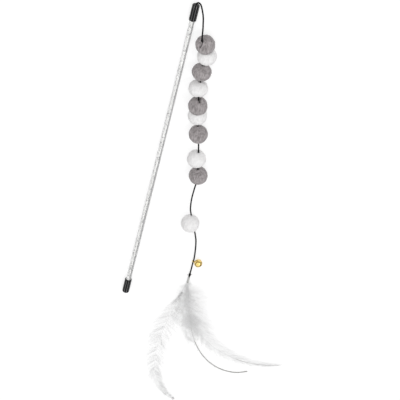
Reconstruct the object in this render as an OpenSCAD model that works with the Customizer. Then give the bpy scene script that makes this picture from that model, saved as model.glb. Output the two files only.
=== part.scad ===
// Cat teaser wand: a clear rod with a glitter film in it and a ribbed cap on each end,
// and an elastic cord that carries ten felt balls, a jingle bell and a bunch of feathers.
// The wand lies along Y on the plane z = 0, with its middle over the origin and its tip at +Y.

/* [Rod] */
// Length of the clear tube
rod_length = 400; // [250:1:600]
// Outside diameter of the clear tube
rod_d = 6; // [5.2:0.1:6.6]
// Wall of the clear tube
rod_wall = 0.6; // [0.4:0.1:0.9]
// Thickness of the glitter film that is rolled up inside the tube
film_thickness = 0.25; // [0.1:0.05:0.4]
// Width left open where the film's two long edges meet
film_seam = 0.8; // [0.3:0.1:2]
// Direction in which the seam faces, from level on the cord's side round to the top
seam_turn = 40; // [0:5:355]
// How far the film stops short of each end of the tube
film_setback = 1; // [0.5:0.5:10]

/* [Caps] */
// Diameter of a cap over its ribs
cap_d = 8.4; // [7.6:0.1:10]
// How far the tube goes into a cap
cap_grip = 12; // [8:0.5:20]
// Depth of the pocket for the knot, beyond the tube's end
pocket_depth = 5.5; // [5:0.5:9]
// Thickness of a cap's closed end
cap_end_wall = 3; // [2:0.1:4]
// Radius round the edge of the closed end
cap_round = 1.5; // [0.5:0.1:1.9]
// Number of ribs round a cap
rib_count = 9; // [6:1:11]
// Width of the groove between two ribs
groove_width = 0.7; // [0.3:0.05:0.8]
// Depth of the groove between two ribs
groove_depth = 0.45; // [0.2:0.05:0.6]
// Width of the round notch between the ends of two ribs at a cap's mouth
notch_width = 1.6; // [0.8:0.1:1.8]
// Length of the smooth band at the closed end
cap_collar = 3.5; // [2.5:0.1:6]

/* [Cord] */
// Diameter of the elastic cord
cord_d = 1.6; // [1.2:0.1:1.8]
// Radial clearance round the cord in the tip's hole
hole_clearance = 0.15; // [0.1:0.05:0.3]
// Radial clearance round the cord in a ball
thread_clearance = 0.3; // [0.2:0.05:0.6]
// Diameter of the knot that holds the cord in the tip cap
anchor_knot_d = 4.2; // [3:0.1:4.4]
// Width of the knot at the cord's far end
end_knot_d = 3.8; // [2.8:0.1:3.8]
// Length of the knot at the cord's far end
end_knot_length = 7; // [4:0.1:9]
// Length of each loose end of that knot, from the knot's middle line
knot_tail_length = 3.6; // [2.5:0.1:5]
// Diameter of each loose end
knot_tail_d = 1.3; // [0.8:0.1:1.6]

/* [Balls] */
// Diameter of a felt ball
ball_d = 20.5; // [14:0.1:20.6]
// Gap between two balls that are pressed flat against each other
press_gap = 0.3; // [0.2:0.05:1]

/* [Bell] */
// Outside diameter of the bell
bell_d = 10; // [8:0.1:12]
// Wall of the bell
bell_wall = 0.45; // [0.3:0.05:0.8]
// Height of the crimped rim where the two halves meet
rim_height = 0.9; // [0.5:0.1:1.5]
// How far the rim stands out
rim_proud = 0.28; // [0.1:0.02:0.4]
// Width of the bell's crossed slots
slot_width = 1.1; // [0.6:0.1:1.6]
// Length of a slot between the round holes at its ends
slot_length = 5.6; // [4:0.1:6]
// Diameter of the holes at the ends of the slots
slot_hole_d = 1.8; // [1:0.1:2.2]
// Diameter of the wire of the loop
loop_wire_d = 0.7; // [0.5:0.05:1]
// Radial clearance round the cord in the loop
loop_clearance = 0.35; // [0.2:0.05:0.8]
// How far the loop is let into the bell
loop_sink = 0.3; // [0.1:0.05:0.4]
// Diameter of the pellet inside the bell
pellet_d = 3; // [2:0.1:4]
// Gap between the pellet and the bell's wall
pellet_gap = 0.1; // [0.05:0.05:0.5]

/* [Feathers] */
// Length of the thread binding round the quills
binding_length = 9.5; // [5:0.5:14]
// Diameter of the thread binding
binding_d = 2.8; // [2.5:0.1:3.6]
// Gap between the end knot and the binding
binding_gap = 0.3; // [0.2:0.1:0.8]
// How far the cord's end goes into the binding
binding_hold = 3; // [1:0.1:5]
// Diameter of a bare quill
quill_d = 0.76; // [0.4:0.02:0.8]
// Length of the bare quill before the barbs start
quill_bare = 8; // [4:0.5:14]
// Length of the long feather that bends left
left_feather_length = 211; // [120:1:260]
// Width of the long feather that bends left
left_feather_width = 20; // [8:1:30]
// Length of the long feather in the middle
middle_feather_length = 193; // [120:1:260]
// Width of the long feather in the middle
middle_feather_width = 11; // [6:1:20]
// Length of the long feather that bends right
right_feather_length = 206; // [120:1:260]
// Width of the long feather that bends right
right_feather_width = 24; // [8:1:34]
// Thickness of a long feather
feather_thickness = 0.8; // [0.4:0.1:0.9]
// Length of the longest down plume
plume_length = 96; // [60:1:140]
// Width of a down plume
plume_width = 26; // [12:1:34]
// Thickness of a down plume
plume_thickness = 2.6; // [1:0.1:2.7]
// Height between two long feathers that lie on each other
feather_step = 1.2; // [1:0.1:2]
// Height between two plumes that lie on each other
plume_step = 3; // [2.9:0.1:5]

/* [Hidden] */
$fn = 64;

// Extra length by which a cut runs past what it cuts
overrun = 1;
// Clearance of the film in the tube, of the tube in a cap, and of the cord's end in the binding
film_clearance = 0.05;
cap_clearance = 0.03;
twist_clearance = 0.05;

rod_r = rod_d / 2;
rod_inner_r = rod_r - rod_wall;
cap_r = cap_d / 2;
cap_length = cap_grip + pocket_depth + cap_end_wall;
pocket_r = rod_inner_r - 2 * film_clearance;
cord_r = cord_d / 2;
tip_y = rod_length / 2 + cap_length - cap_grip;
ball_r = ball_d / 2;

// The route of the cord that stays with the wand, from its knot to just short of the swing's pivot
tip_route = [
    [0, 205.5, 4.2], [0, 208.3, 4.2], [0.2, 209.9, 4.4], [0.8, 211.3, 5.1], [1.6, 212.1, 6]
];

// The route of the cord that swings, from the pivot to the knot at its far end
line_route = [
    [2.4, 212.4, 6.9], [3.7, 212.1, 8], [4.9, 211, 9.1], [6, 208.9, 9.8], [7.6, 205.2, 10.6],
    [9.2, 201, 11.5], [10.4, 196.5, 12.7], [11.2, 192.1, 13.9], [12, 187.6, 15.4],
    [12.6, 182.8, 17.2], [13.1, 178.9, 18.4], [13.5, 175.5, 18.9], [22.5, 139.6, 11],
    [24.4, 117.8, 10.5], [26.3, 97.7, 16.5],
    [26.6, 96.5, 16.5], [33.6, 59, 8.1],
    [34.6, 56.3, 8.4], [40.2, 33.5, 10.6],
    [40.9, 30.8, 10.9], [47, -0.6, 11], [49.8, -23.2, 9],
    [50, -36, 5.8], [50.2, -50, 4.2], [50.9, -60, 4.9],
    [52.4, -68, 6.5], [63.2, -96, 6.5],
    [66.2, -105, 4.4], [68.8, -114, 1.9], [70.9, -126, 0.9],
    [72.3, -140.5, 2.6], [72.3, -151, 2.6], [72.5, -158, 1.9], [72.5, -164, 1.9]
];

// Greatest distance between two rings of the cord's tube
ring_step = 8;
cord_sides = 8;

// One row for each ball: the route point where its straight stretch starts, how far along
// that stretch it sits, how far its middle lies to the right of the cord, and how far it is
// raised off the plane, the last two as shares of its radius
ball_place_shares = [
    [11, 0.279, 0.321, 0.366], [11, 0.728, 0.443, 0.102], [12, 0.508, -0.015, 0],
    [13, 0.564, -0.134, 0], [15, 0.283, -0.048, 0.39], [15, 0.701, -0.051, 0],
    [17, 0.488, 0.007, 0], [19, 0.624, -0.209, 0], [20, 0.515, 0.114, 0], [25, 0.509, -0.282, 0]
];

// The pairs of balls that are pressed against each other on one straight stretch
pressed_pairs = [[0, 1], [4, 5]];

// Where the bell's loop hangs: the route point where its stretch starts, and how far along it
bell_stretch = 30;
bell_place_share = 0.48;

bell_r = bell_d / 2;
bell_inner_r = bell_r - bell_wall;
loop_r = cord_r + loop_clearance + loop_wire_d / 2;
bell_reach = bell_r + loop_r + loop_wire_d / 2 - loop_sink;

// The knot in the tip cap: how far its flat ends lie from its middle, as a share of its radius
knot_flat_share = 0.7;
// The end knot: where its two turns lie along it, how thick it is between them, and where its
// loose ends leave it
turn_shares = [0.3, 0.7];
waist_share = 0.8;
tail_shares = [0.65, 0.45];
tail_drop_share = 0.33;
tail_lean = 75;
// The rounded near end of the swinging cord, as shares of its radius
end_round_shares = [0.98, 0.8, 0.45];
// How far into the wall of the bell its rim reaches, as a share of the wall
rim_bite_share = 0.33;

quill_r = quill_d / 2;
knot_z = end_knot_d / 2;

// Shares of the binding's radius, sideways and up, at which each quill leaves it
bunch_shares = [
    [0.56, -0.32], [-0.56, -0.32], [0, -0.64], [0, 0], [-0.56, 0.32], [0.56, 0.32], [0, 0.64]
];
// Length over which a feather reaches its own height, and its full width
levelling = 25;
widening = 24;
// Share of its width that a feather keeps at its tip
tip_share = 0.06;
// Lengths of the four plumes, as shares of the longest
plume_length_shares = [0.9, 1, 0.86, 0.74];

// How much closer together a feather's rings are near the quill
ring_ease = 1.3;
// For each feather: its first heading, how far it turns, how late it turns, and how late it narrows
middle_bend = [-77, 108, 2.9, 2];
left_bend = [-100, 74, 3.2, 3];
right_bend = [-86, 102, 1.1, 0.9];
plume_bends = [[-80, 22, 1.5, 3], [-88, 34, 1.5, 3], [-73, 21, 1.5, 3], [-76, 10, 1.5, 3]];

feather_sides = 6;
feather_rings = 18;

function unit(v) = v / norm(v);
function clamp(x) = min(1, max(0, x));
function smooth(x) = let (c = clamp(x)) c * c * (3 - 2 * c);
function mix(a, b, share) = a + (b - a) * share;
function flat_right(v) = unit(cross(v, [0, 0, 1]));

// A route with more points on its long stretches
function fine(route) = [
    for (i = [0 : len(route) - 2])
        let (steps = max(1, ceil(norm(route[i + 1] - route[i]) / ring_step)))
        for (j = [0 : steps - 1]) mix(route[i], route[i + 1], j / steps),
    route[len(route) - 1]
];

// The direction of a line of points at point i
function heading(points, i) = unit(
    points[min(i + 1, len(points) - 1)] - points[max(i - 1, 0)]
);

// A closed solid along a line of points, with one half width and one half thickness for each point
module sweep(points, half_widths, half_thicknesses, sides) {
    rings = len(points);
    corners = [
        for (i = [0 : rings - 1])
            let (ahead = heading(points, i), right = flat_right(ahead), up = cross(right, ahead))
            for (j = [0 : sides - 1])
                points[i] + right * half_widths[i] * cos(360 * j / sides)
                    + up * half_thicknesses[i] * sin(360 * j / sides)
    ];
    walls = [
        for (i = [0 : rings - 2]) for (j = [0 : sides - 1])
            let (k = (j + 1) % sides)
            each [
                [i * sides + j, i * sides + k, (i + 1) * sides + k],
                [i * sides + j, (i + 1) * sides + k, (i + 1) * sides + j]
            ]
    ];
    near_end = [for (j = [1 : sides - 2]) [0, j + 1, j]];
    last = (rings - 1) * sides;
    far_end = [for (j = [1 : sides - 2]) [last, last + j, last + j + 1]];
    polyhedron(points = corners, faces = concat(walls, near_end, far_end));
}

// A round tube along a route
module cord_tube(points) {
    radii = [for (p = points) cord_r];
    sweep(points, radii, radii, cord_sides);
}

// Children that stand along Z are turned to stand along a direction
module along(direction) {
    turn = atan2(direction[1], direction[0]);
    lean = acos(direction[2] / norm(direction));
    rotate([0, lean, turn]) children();
}

module rod_tube() {
    color("lightsteelblue", 0.5)
    translate([0, rod_length / 2, cap_r]) rotate([90, 0, 0])
    difference() {
        cylinder(r = rod_r, h = rod_length);
        translate([0, 0, -overrun]) cylinder(r = rod_inner_r, h = rod_length + 2 * overrun);
    }
}

module glitter_film() {
    film_r = rod_inner_r - film_clearance;
    film_length = rod_length - 2 * film_setback;
    color("silver")
    translate([0, film_length / 2, cap_r]) rotate([90, 0, 0]) rotate([0, 0, seam_turn])
    difference() {
        cylinder(r = film_r, h = film_length);
        translate([0, 0, -overrun])
            cylinder(r = film_r - film_thickness, h = film_length + 2 * overrun);
        translate([0, -film_seam / 2, -overrun])
            cube([film_r + overrun, film_seam, film_length + 2 * overrun]);
    }
}

// A cap that stands on its open end
module cap(hole_r) {
    difference() {
        rotate_extrude() {
            square([cap_r, cap_length - cap_round]);
            square([cap_r - cap_round, cap_length]);
            translate([cap_r - cap_round, cap_length - cap_round])
                intersection() {
                    circle(r = cap_round);
                    square([cap_round, cap_round]);
                }
        }
        translate([0, 0, -overrun]) cylinder(r = rod_r + cap_clearance, h = cap_grip + overrun);
        cylinder(r = pocket_r, h = cap_grip + pocket_depth);
        if (hole_r > 0) cylinder(r = hole_r, h = cap_length + overrun);
        for (i = [0 : rib_count - 1])
            rotate([0, 0, 360 * i / rib_count]) {
                translate([cap_r - groove_depth, -groove_width / 2, -overrun])
                    cube([groove_depth + overrun, groove_width, cap_length - cap_collar + overrun]);
                rotate([0, 90, 0]) cylinder(d = notch_width, h = cap_r + overrun);
            }
    }
}

module grip_cap() {
    color("#1b1b1c")
    translate([0, -rod_length / 2 + cap_grip, cap_r]) rotate([90, 0, 0]) cap(0);
}

module tip_cap() {
    color("#1b1b1c")
    translate([0, rod_length / 2 - cap_grip, cap_r]) rotate([-90, 0, 0]) cap(cord_r + hole_clearance);
}

// The knot bears on the inside of the tip cap's closed end
module anchor_knot() {
    knot_r = anchor_knot_d / 2;
    flat = knot_r * knot_flat_share;
    color("#2b2b2d")
    translate([0, tip_y - cap_end_wall - flat, cap_r]) rotate([-90, 0, 0])
    intersection() {
        sphere(r = knot_r);
        translate([0, 0, -flat]) cylinder(r = knot_r, h = 2 * flat);
    }
}

module cord_tip() {
    color("#3a3a3c") cord_tube(fine(tip_route));
}

// The near end is rounded, so that it can turn about the pivot
module cord_line() {
    ahead = unit(line_route[1] - line_route[0]);
    body = fine(line_route);
    points = concat([for (share = end_round_shares) line_route[0] - ahead * cord_r * share], body);
    round_radii = [for (share = end_round_shares) cord_r * sqrt(1 - share * share)];
    radii = concat(round_radii, [for (p = body) cord_r]);
    color("#3a3a3c") sweep(points, radii, radii, cord_sides);
}

knot_start = line_route[len(line_route) - 1];

// Two turns side by side with two loose ends, and the cord's end that goes on into the binding
module end_knot() {
    knot_r = end_knot_d / 2;
    color("#2b2b2d")
    translate([knot_start[0], knot_start[1], knot_z]) rotate([90, 0, 0]) {
        for (share = turn_shares) translate([0, 0, end_knot_length * share]) sphere(r = knot_r);
        cylinder(r = knot_r * waist_share, h = end_knot_length);
        cylinder(r = cord_r, h = end_knot_length + binding_gap + binding_hold);
        for (side = [0, 1])
            translate([0, -knot_z * tail_drop_share, end_knot_length * tail_shares[side]])
                rotate([0, (2 * side - 1) * tail_lean, 0])
                    cylinder(d = knot_tail_d, h = knot_tail_length);
    }
}

function ball_start(k) = line_route[ball_place_shares[k][0]];
function ball_end(k) = line_route[ball_place_shares[k][0] + 1];
function ball_axis(k) = unit(ball_end(k) - ball_start(k));
function ball_middle(k) =
    let (on_cord = mix(ball_start(k), ball_end(k), ball_place_shares[k][1]),
         side = flat_right(ball_axis(k)) * ball_place_shares[k][2] * ball_r)
    [on_cord[0] - side[0], on_cord[1] - side[1], ball_r * (1 + ball_place_shares[k][3])];

// A felt ball with its thread hole, cut flat where another ball is pressed against it
module ball(k, shade) {
    color(shade)
    difference() {
        translate(ball_middle(k)) along(ball_axis(k)) sphere(r = ball_r);
        translate(mix(ball_start(k), ball_end(k), ball_place_shares[k][1]))
            along(ball_axis(k))
                cylinder(r = cord_r + thread_clearance, h = 2 * ball_d, center = true);
        for (pair = pressed_pairs)
            if (pair[0] == k || pair[1] == k)
                translate((ball_middle(pair[0]) + ball_middle(pair[1])) / 2)
                    along(ball_axis(k) * (pair[0] == k ? 1 : -1))
                        translate([0, 0, -press_gap / 2])
                            cylinder(r = ball_d, h = ball_d);
    }
}

loop_place = mix(line_route[bell_stretch], line_route[bell_stretch + 1], bell_place_share);
bell_tilt = asin((bell_r - loop_place[2]) / bell_reach);

// Children stand along Z from the middle of the loop, towards the bell
module at_bell() {
    translate(loop_place) rotate([0, 90 - bell_tilt, 0]) children();
}

module bell_shell() {
    difference() {
        sphere(r = bell_r);
        sphere(r = bell_inner_r);
        children();
    }
}

module bell_top() {
    color("#d8a832")
    at_bell() translate([0, 0, bell_reach])
    bell_shell() cylinder(r = bell_d, h = bell_d);
}

module bell_bottom() {
    color("#d8a832")
    at_bell() translate([0, 0, bell_reach]) {
        bell_shell() {
            translate([0, 0, -bell_d]) cylinder(r = bell_d, h = bell_d);
            for (turn = [0, 90]) rotate([0, 0, turn]) {
                translate([-slot_length / 2, -slot_width / 2, 0]) cube([slot_length, slot_width, bell_d]);
                for (side = [-1, 1])
                    translate([side * slot_length / 2, 0, 0]) cylinder(d = slot_hole_d, h = bell_d);
            }
        }
        difference() {
            cylinder(r = bell_r + rim_proud, h = rim_height);
            translate([0, 0, -overrun])
                cylinder(r = bell_r - bell_wall * rim_bite_share, h = rim_height + 2 * overrun);
        }
    }
}

// The cord passes through the loop, so the loop's hole faces along the cord
module bell_loop() {
    color("#c8962a")
    at_bell() rotate([90, 0, 0])
    rotate_extrude() translate([loop_r, 0]) circle(d = loop_wire_d, $fn = 24);
}

bell_middle = loop_place + bell_reach * [cos(bell_tilt), 0, sin(bell_tilt)];

module bell_pellet() {
    color("#9a9a9c")
    translate(bell_middle - [0, 0, bell_inner_r - pellet_gap - pellet_d / 2])
    sphere(d = pellet_d, $fn = 32);
}

binding_start = [knot_start[0], knot_start[1] - end_knot_length - binding_gap, knot_z];
binding_end = binding_start - [0, binding_length, 0];

module feather_binding() {
    color("#8f8f8a")
    translate(binding_start) rotate([90, 0, 0])
    difference() {
        cylinder(d = binding_d, h = binding_length);
        translate([0, 0, -overrun])
            cylinder(r = cord_r + twist_clearance, h = binding_hold + binding_gap + overrun);
    }
}

// How far along a feather its ring i lies
function ring_at(i, length) = length * pow(i / feather_rings, ring_ease);

// The middle line of feather k: it leaves the binding, levels off at its own height, and bends
function feather_line(k, length, bend, level) =
    let (start = binding_end + [bunch_shares[k][0], 0, bunch_shares[k][1]] * binding_d / 2)
    [
        for (i = 0, p = start; i <= feather_rings;
             angle = bend[0] + bend[1] * pow(ring_at(i + 0.5, 1), bend[2]),
             step = ring_at(i + 1, length) - ring_at(i, length),
             p = p + step * [cos(angle), sin(angle), 0], i = i + 1)
            [p[0], p[1], mix(start[2], level, smooth(ring_at(i, length) / levelling))]
    ];

// Share of its full width that a feather has, at a share of its length
function vane_share(share, length, bend) =
    smooth((share * length - quill_bare) / widening) * mix(1, tip_share, pow(share, bend[3]));

module feather(k, length, bend, level, width, thickness) {
    shares = [for (i = [0 : feather_rings]) vane_share(ring_at(i, 1), length, bend)];
    sweep(
        feather_line(k, length, bend, level),
        [for (s = shares) mix(quill_r, width / 2, s)],
        [for (s = shares) mix(quill_r, thickness / 2, s)],
        feather_sides
    );
}

module long_feather(k, length, bend, width) {
    color("#f4f4f2")
    feather(k, length, bend, feather_step * (k + 0.5), width, feather_thickness);
}

// The plumes lie above the three long feathers
module plume(k) {
    first_level = feather_step * 4 - feather_thickness + plume_thickness / 2;
    color("#fbfbfa")
    feather(k + 3, plume_length * plume_length_shares[k], plume_bends[k],
            first_level + plume_step * k, plume_width, plume_thickness);
}

module feather_middle() { long_feather(0, middle_feather_length, middle_bend, middle_feather_width); }
module feather_left() { long_feather(1, left_feather_length, left_bend, left_feather_width); }
module feather_right() { long_feather(2, right_feather_length, right_bend, right_feather_width); }
module plume_1() { plume(0); }
module plume_2() { plume(1); }
module plume_3() { plume(2); }
module plume_4() { plume(3); }

grey = "#a3a09f";
white = "#f3f3f4";

module ball_1() { ball(0, grey); }
module ball_2() { ball(1, white); }
module ball_3() { ball(2, grey); }
module ball_4() { ball(3, white); }
module ball_5() { ball(4, grey); }
module ball_6() { ball(5, white); }
module ball_7() { ball(6, grey); }
module ball_8() { ball(7, white); }
module ball_9() { ball(8, grey); }
module ball_10() { ball(9, white); }

rod_tube();
glitter_film();
grip_cap();
tip_cap();
anchor_knot();
cord_tip();
cord_line();
end_knot();
ball_1();
ball_2();
ball_3();
ball_4();
ball_5();
ball_6();
ball_7();
ball_8();
ball_9();
ball_10();
bell_top();
bell_bottom();
bell_loop();
bell_pellet();
feather_binding();
feather_left();
feather_middle();
feather_right();
plume_1();
plume_2();
plume_3();
plume_4();
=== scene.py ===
"""Cat teaser wand: the looks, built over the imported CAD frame.

A clear rod with a rolled glitter film, two ribbed caps, a braided elastic cord with ten felt balls
and a jingle bell, and a bunch of feathers tied to its far end. Shapes are worked out in millimetres
as numpy arrays and become metres when they go into a mesh.
"""

import logging
import math
from collections.abc import Callable
from dataclasses import dataclass, field
from enum import Enum
from functools import partial

import bpy
import numpy as np
from mathutils import Matrix, Vector


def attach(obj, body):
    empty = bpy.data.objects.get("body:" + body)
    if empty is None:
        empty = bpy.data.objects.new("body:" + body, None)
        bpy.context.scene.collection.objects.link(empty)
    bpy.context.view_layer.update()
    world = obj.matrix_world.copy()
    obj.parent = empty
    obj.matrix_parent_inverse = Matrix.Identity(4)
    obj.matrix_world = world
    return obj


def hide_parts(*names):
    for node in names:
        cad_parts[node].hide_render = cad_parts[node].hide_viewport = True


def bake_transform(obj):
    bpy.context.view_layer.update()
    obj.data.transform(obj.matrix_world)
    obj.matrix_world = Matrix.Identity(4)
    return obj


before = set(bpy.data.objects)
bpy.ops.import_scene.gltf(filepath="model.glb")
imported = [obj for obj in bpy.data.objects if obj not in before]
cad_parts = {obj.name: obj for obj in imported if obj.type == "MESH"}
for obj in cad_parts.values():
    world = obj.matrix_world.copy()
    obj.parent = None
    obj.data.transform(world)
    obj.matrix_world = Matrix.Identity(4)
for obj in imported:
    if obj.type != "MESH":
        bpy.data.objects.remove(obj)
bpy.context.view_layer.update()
LOG = logging.getLogger("cat_teaser_wand")

MM = 0.001
UP = np.array([0.0, 0.0, 1.0])
NORTH = np.array([0.0, 1.0, 0.0])  # along the rod, from the grip cap to the tip cap

# The cord's route, from its knot in the tip cap to the pivot of its swing, in metres
TIP_ROUTE = [
    (0, 0.2055, 0.0042), (0, 0.2083, 0.0042), (0.0002, 0.2099, 0.0044), (0.0008, 0.2113, 0.0051),
    (0.0016, 0.2121, 0.006),
]

# The cord's route, from the pivot to the knot at its far end, in metres
LINE_ROUTE = [
    (0.0024, 0.2124, 0.0069), (0.0037, 0.2121, 0.008), (0.0049, 0.211, 0.0091),
    (0.006, 0.2089, 0.0098), (0.0076, 0.2052, 0.0106), (0.0092, 0.201, 0.0115),
    (0.0104, 0.1965, 0.0127), (0.0112, 0.1921, 0.0139), (0.012, 0.1876, 0.0154),
    (0.0126, 0.1828, 0.0172), (0.0131, 0.1789, 0.0184), (0.0135, 0.1755, 0.0189),
    (0.0225, 0.1396, 0.011), (0.0244, 0.1178, 0.0105), (0.0263, 0.0977, 0.0165),
    (0.0266, 0.0965, 0.0165), (0.0336, 0.059, 0.0081), (0.0346, 0.0563, 0.0084),
    (0.0402, 0.0335, 0.0106), (0.0409, 0.0308, 0.0109), (0.047, -0.0006, 0.011),
    (0.0498, -0.0232, 0.009), (0.05, -0.036, 0.0058), (0.0502, -0.05, 0.0042),
    (0.0509, -0.06, 0.0049), (0.0524, -0.068, 0.0065), (0.0632, -0.096, 0.0065),
    (0.0662, -0.105, 0.0044), (0.0688, -0.114, 0.0019), (0.0709, -0.126, 0.0009),
    (0.0723, -0.1405, 0.0026), (0.0723, -0.151, 0.0026), (0.0725, -0.158, 0.0019),
    (0.0725, -0.164, 0.0019),
]

# For each ball: the route point where its straight stretch starts, how far along that stretch it
# sits, how far its middle lies to the right of the cord, and how far it is raised, in radii
BALL_PLACES = [
    (11, 0.279, 0.321, 0.366), (11, 0.728, 0.443, 0.102), (12, 0.508, -0.015, 0),
    (13, 0.564, -0.134, 0), (15, 0.283, -0.048, 0.39), (15, 0.701, -0.051, 0),
    (17, 0.488, 0.007, 0), (19, 0.624, -0.209, 0), (20, 0.515, 0.114, 0), (25, 0.509, -0.282, 0),
]
# Where the cord has pressed a crease into a ball, as directions from its middle
CREASES = {
    1: [
        (-0.49, 0.69, 0.53), (-0.49, 0.54, 0.685), (-0.52, 0.345, 0.78), (-0.576, 0.16, 0.8),
        (-0.62, -0.02, 0.783),
    ],
    5: [(-0.012, 1.0, -0.027), (-0.008, 0.98, 0.196), (0.004, 0.927, 0.374), (0.022, 0.841, 0.54)],
}
BALL_RADIUS = 10.25
CORD_DIAMETER = 1.6
ROD_HEIGHT = 4.2
RIBS = 9
BINDING_START = np.array([72.5, -171.3, 1.9])
BINDING_LENGTH = 9.5
BINDING_DIAMETER = 2.8


class Side(Enum):
    """Which of the two ends of the rod a cap closes."""

    TIP = "tip_cap"
    GRIP = "grip_cap"


class Wool(Enum):
    """The two colours of the felt balls."""

    GREY = "grey_felt"
    WHITE = "white_felt"


def unit(vectors: np.ndarray) -> np.ndarray:
    """The same vectors at length one, along the last axis."""
    return vectors / np.linalg.norm(vectors, axis=-1, keepdims=True)


def square_to(axis: np.ndarray, vectors: np.ndarray) -> np.ndarray:
    """Unit vectors at a right angle to an axis: the given ones with their part along it taken out."""
    return unit(vectors - (vectors * axis).sum(-1, keepdims=True) * axis)


def circle(up: np.ndarray, across: np.ndarray, sides: int, turned: float = 0.0) -> np.ndarray:
    """Directions all round: up * cos(angle) + across * sin(angle), from the angle turned on."""
    angles = (np.arange(sides) * 2 * np.pi / sides + turned)[:, None]
    return up[..., None, :] * np.cos(angles) + across[..., None, :] * np.sin(angles)


def smooth_step(values: np.ndarray | float) -> np.ndarray:
    """The curve 3c^2 - 2c^3 of values held between 0 and 1."""
    held = np.clip(values, 0.0, 1.0)
    return held * held * (3.0 - 2.0 * held)


def hump(values: np.ndarray, width: float, middle: float = 0.0) -> np.ndarray:
    """The bell-shaped curve exp(-((value - middle) / width)^2)."""
    return np.exp(-(((values - middle) / width) ** 2))


def soft_below(values: np.ndarray, limit: np.ndarray | float, ease: float) -> np.ndarray:
    """Values that level off below a limit: limit - ease * log(1 + exp((limit - value) / ease))."""
    return limit - ease * np.logaddexp(0.0, (limit - values) / ease)


def distances(path: np.ndarray) -> np.ndarray:
    """How far each point of a path lies from its start, along the path."""
    return np.concatenate([[0.0], np.cumsum(np.linalg.norm(np.diff(path, axis=0), axis=1))])


def waves(places: np.ndarray, pitch: float, count: int, seed: int) -> np.ndarray:
    """A smooth random relief of about unit height.

    It is the sum of cosine waves of random directions, with wavelengths near the pitch.

    Args:
        places: points, with x, y and z on the last axis.
        pitch: the typical distance between two bumps, in the units of the places.
        count: how many waves are summed.
        seed: the seed of the random directions.

    Returns:
        One height for each place.
    """
    draw = np.random.default_rng(seed)
    ways = unit(draw.normal(size=(count, 3))) * (2 * np.pi / pitch) * draw.uniform(0.7, 1.4, (count, 1))
    shifts = draw.uniform(0, 2 * np.pi, count)
    return np.cos(places @ ways.T + shifts).sum(axis=-1) / math.sqrt(count)


def smooth_route(points: np.ndarray, step: float, blur: float) -> np.ndarray:
    """One smooth curve through the points of a route.

    Each piece is a cubic whose tangents are the slope between a point's two neighbours. The curve is
    then averaged along its length with a bell-shaped weight, which rounds its tightest bends.

    Args:
        points: the route's points, in millimetres.
        step: the distance between two points of the result.
        blur: the width of the bell-shaped weight.

    Returns:
        The points of the curve.
    """
    knots = distances(points)
    chords = np.diff(knots)
    slopes = np.empty_like(points)
    slopes[1:-1] = (points[2:] - points[:-2]) / (knots[2:] - knots[:-2])[:, None]
    slopes[0], slopes[-1] = (points[1] - points[0]) / chords[0], (points[-1] - points[-2]) / chords[-1]
    along = np.linspace(0.0, knots[-1], int(math.ceil(knots[-1] / step)) + 1)
    i = np.clip(np.searchsorted(knots, along, side="right") - 1, 0, len(chords) - 1)
    h = chords[i][:, None]
    t = (along - knots[i])[:, None] / h
    curve = (1 + 2 * t) * (1 - t) ** 2 * points[i] + t * (1 - t) ** 2 * h * slopes[i]
    curve += t * t * (3 - 2 * t) * points[i + 1] + t * t * (t - 1) * h * slopes[i + 1]
    reach = int(math.ceil(3 * blur / step))
    ahead = np.arange(1, reach + 1)[:, None]
    before = curve[0] - (curve[1] - curve[0]) * ahead[::-1]
    after = curve[-1] + (curve[-1] - curve[-2]) * ahead
    longer = np.vstack([before, curve, after])
    weight = np.exp(-0.5 * (np.arange(-reach, reach + 1) * step / blur) ** 2)
    weight /= weight.sum()
    return np.stack([np.convolve(longer[:, axis], weight, mode="valid") for axis in range(3)], axis=1)


def frames_along(path: np.ndarray, reference: np.ndarray = UP) -> tuple[np.ndarray, np.ndarray, np.ndarray]:
    """The directions along a path: ahead is its slope, and across is ahead times up.

    Args:
        path: points, with their order on the last axis but one.
        reference: one direction for up, or one for each point, that is never along the path.

    Returns:
        The unit vectors ahead, up and across.
    """
    ahead = unit(np.gradient(path, axis=-2))
    up = square_to(ahead, reference)
    return ahead, up, np.cross(ahead, up)


def winding(
    start: np.ndarray, along: np.ndarray, angle: np.ndarray, radius: np.ndarray
) -> tuple[np.ndarray, np.ndarray]:
    """A thread wound round a line from the start towards the feathers.

    A point is start + out - along * north, with out = radius * (cos(angle), 0, sin(angle)).

    Args:
        start: where the line starts.
        along: each point's distance from there.
        angle: its angle round the line.
        radius: its distance from the line.

    Returns:
        The points, and their offsets from the line.
    """
    out = np.stack([radius * np.cos(angle), np.zeros(len(angle)), radius * np.sin(angle)], -1)
    return start + out - along[:, None] * NORTH, out


@dataclass
class Surface:
    """Points in millimetres, faces, and a place on the UV map for each face corner."""

    points: np.ndarray
    faces: list[np.ndarray]
    corners: list[np.ndarray]

    @staticmethod
    def plain(points: np.ndarray, faces: list[np.ndarray]) -> "Surface":
        """A surface whose finish reads no UV map."""
        return Surface(points, faces, [np.zeros((*part.shape, 2)) for part in faces])

    @staticmethod
    def joined(parts: list["Surface"]) -> "Surface":
        """Several surfaces as one.

        Args:
            parts: the surfaces, whose arrays of faces keep their order.

        Returns:
            One surface.
        """
        offsets = np.cumsum([0] + [len(part.points) for part in parts[:-1]])
        return Surface(
            np.vstack([part.points for part in parts]),
            [faces + offset for part, offset in zip(parts, offsets) for faces in part.faces],
            [corners for part in parts for corners in part.corners],
        )


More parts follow.
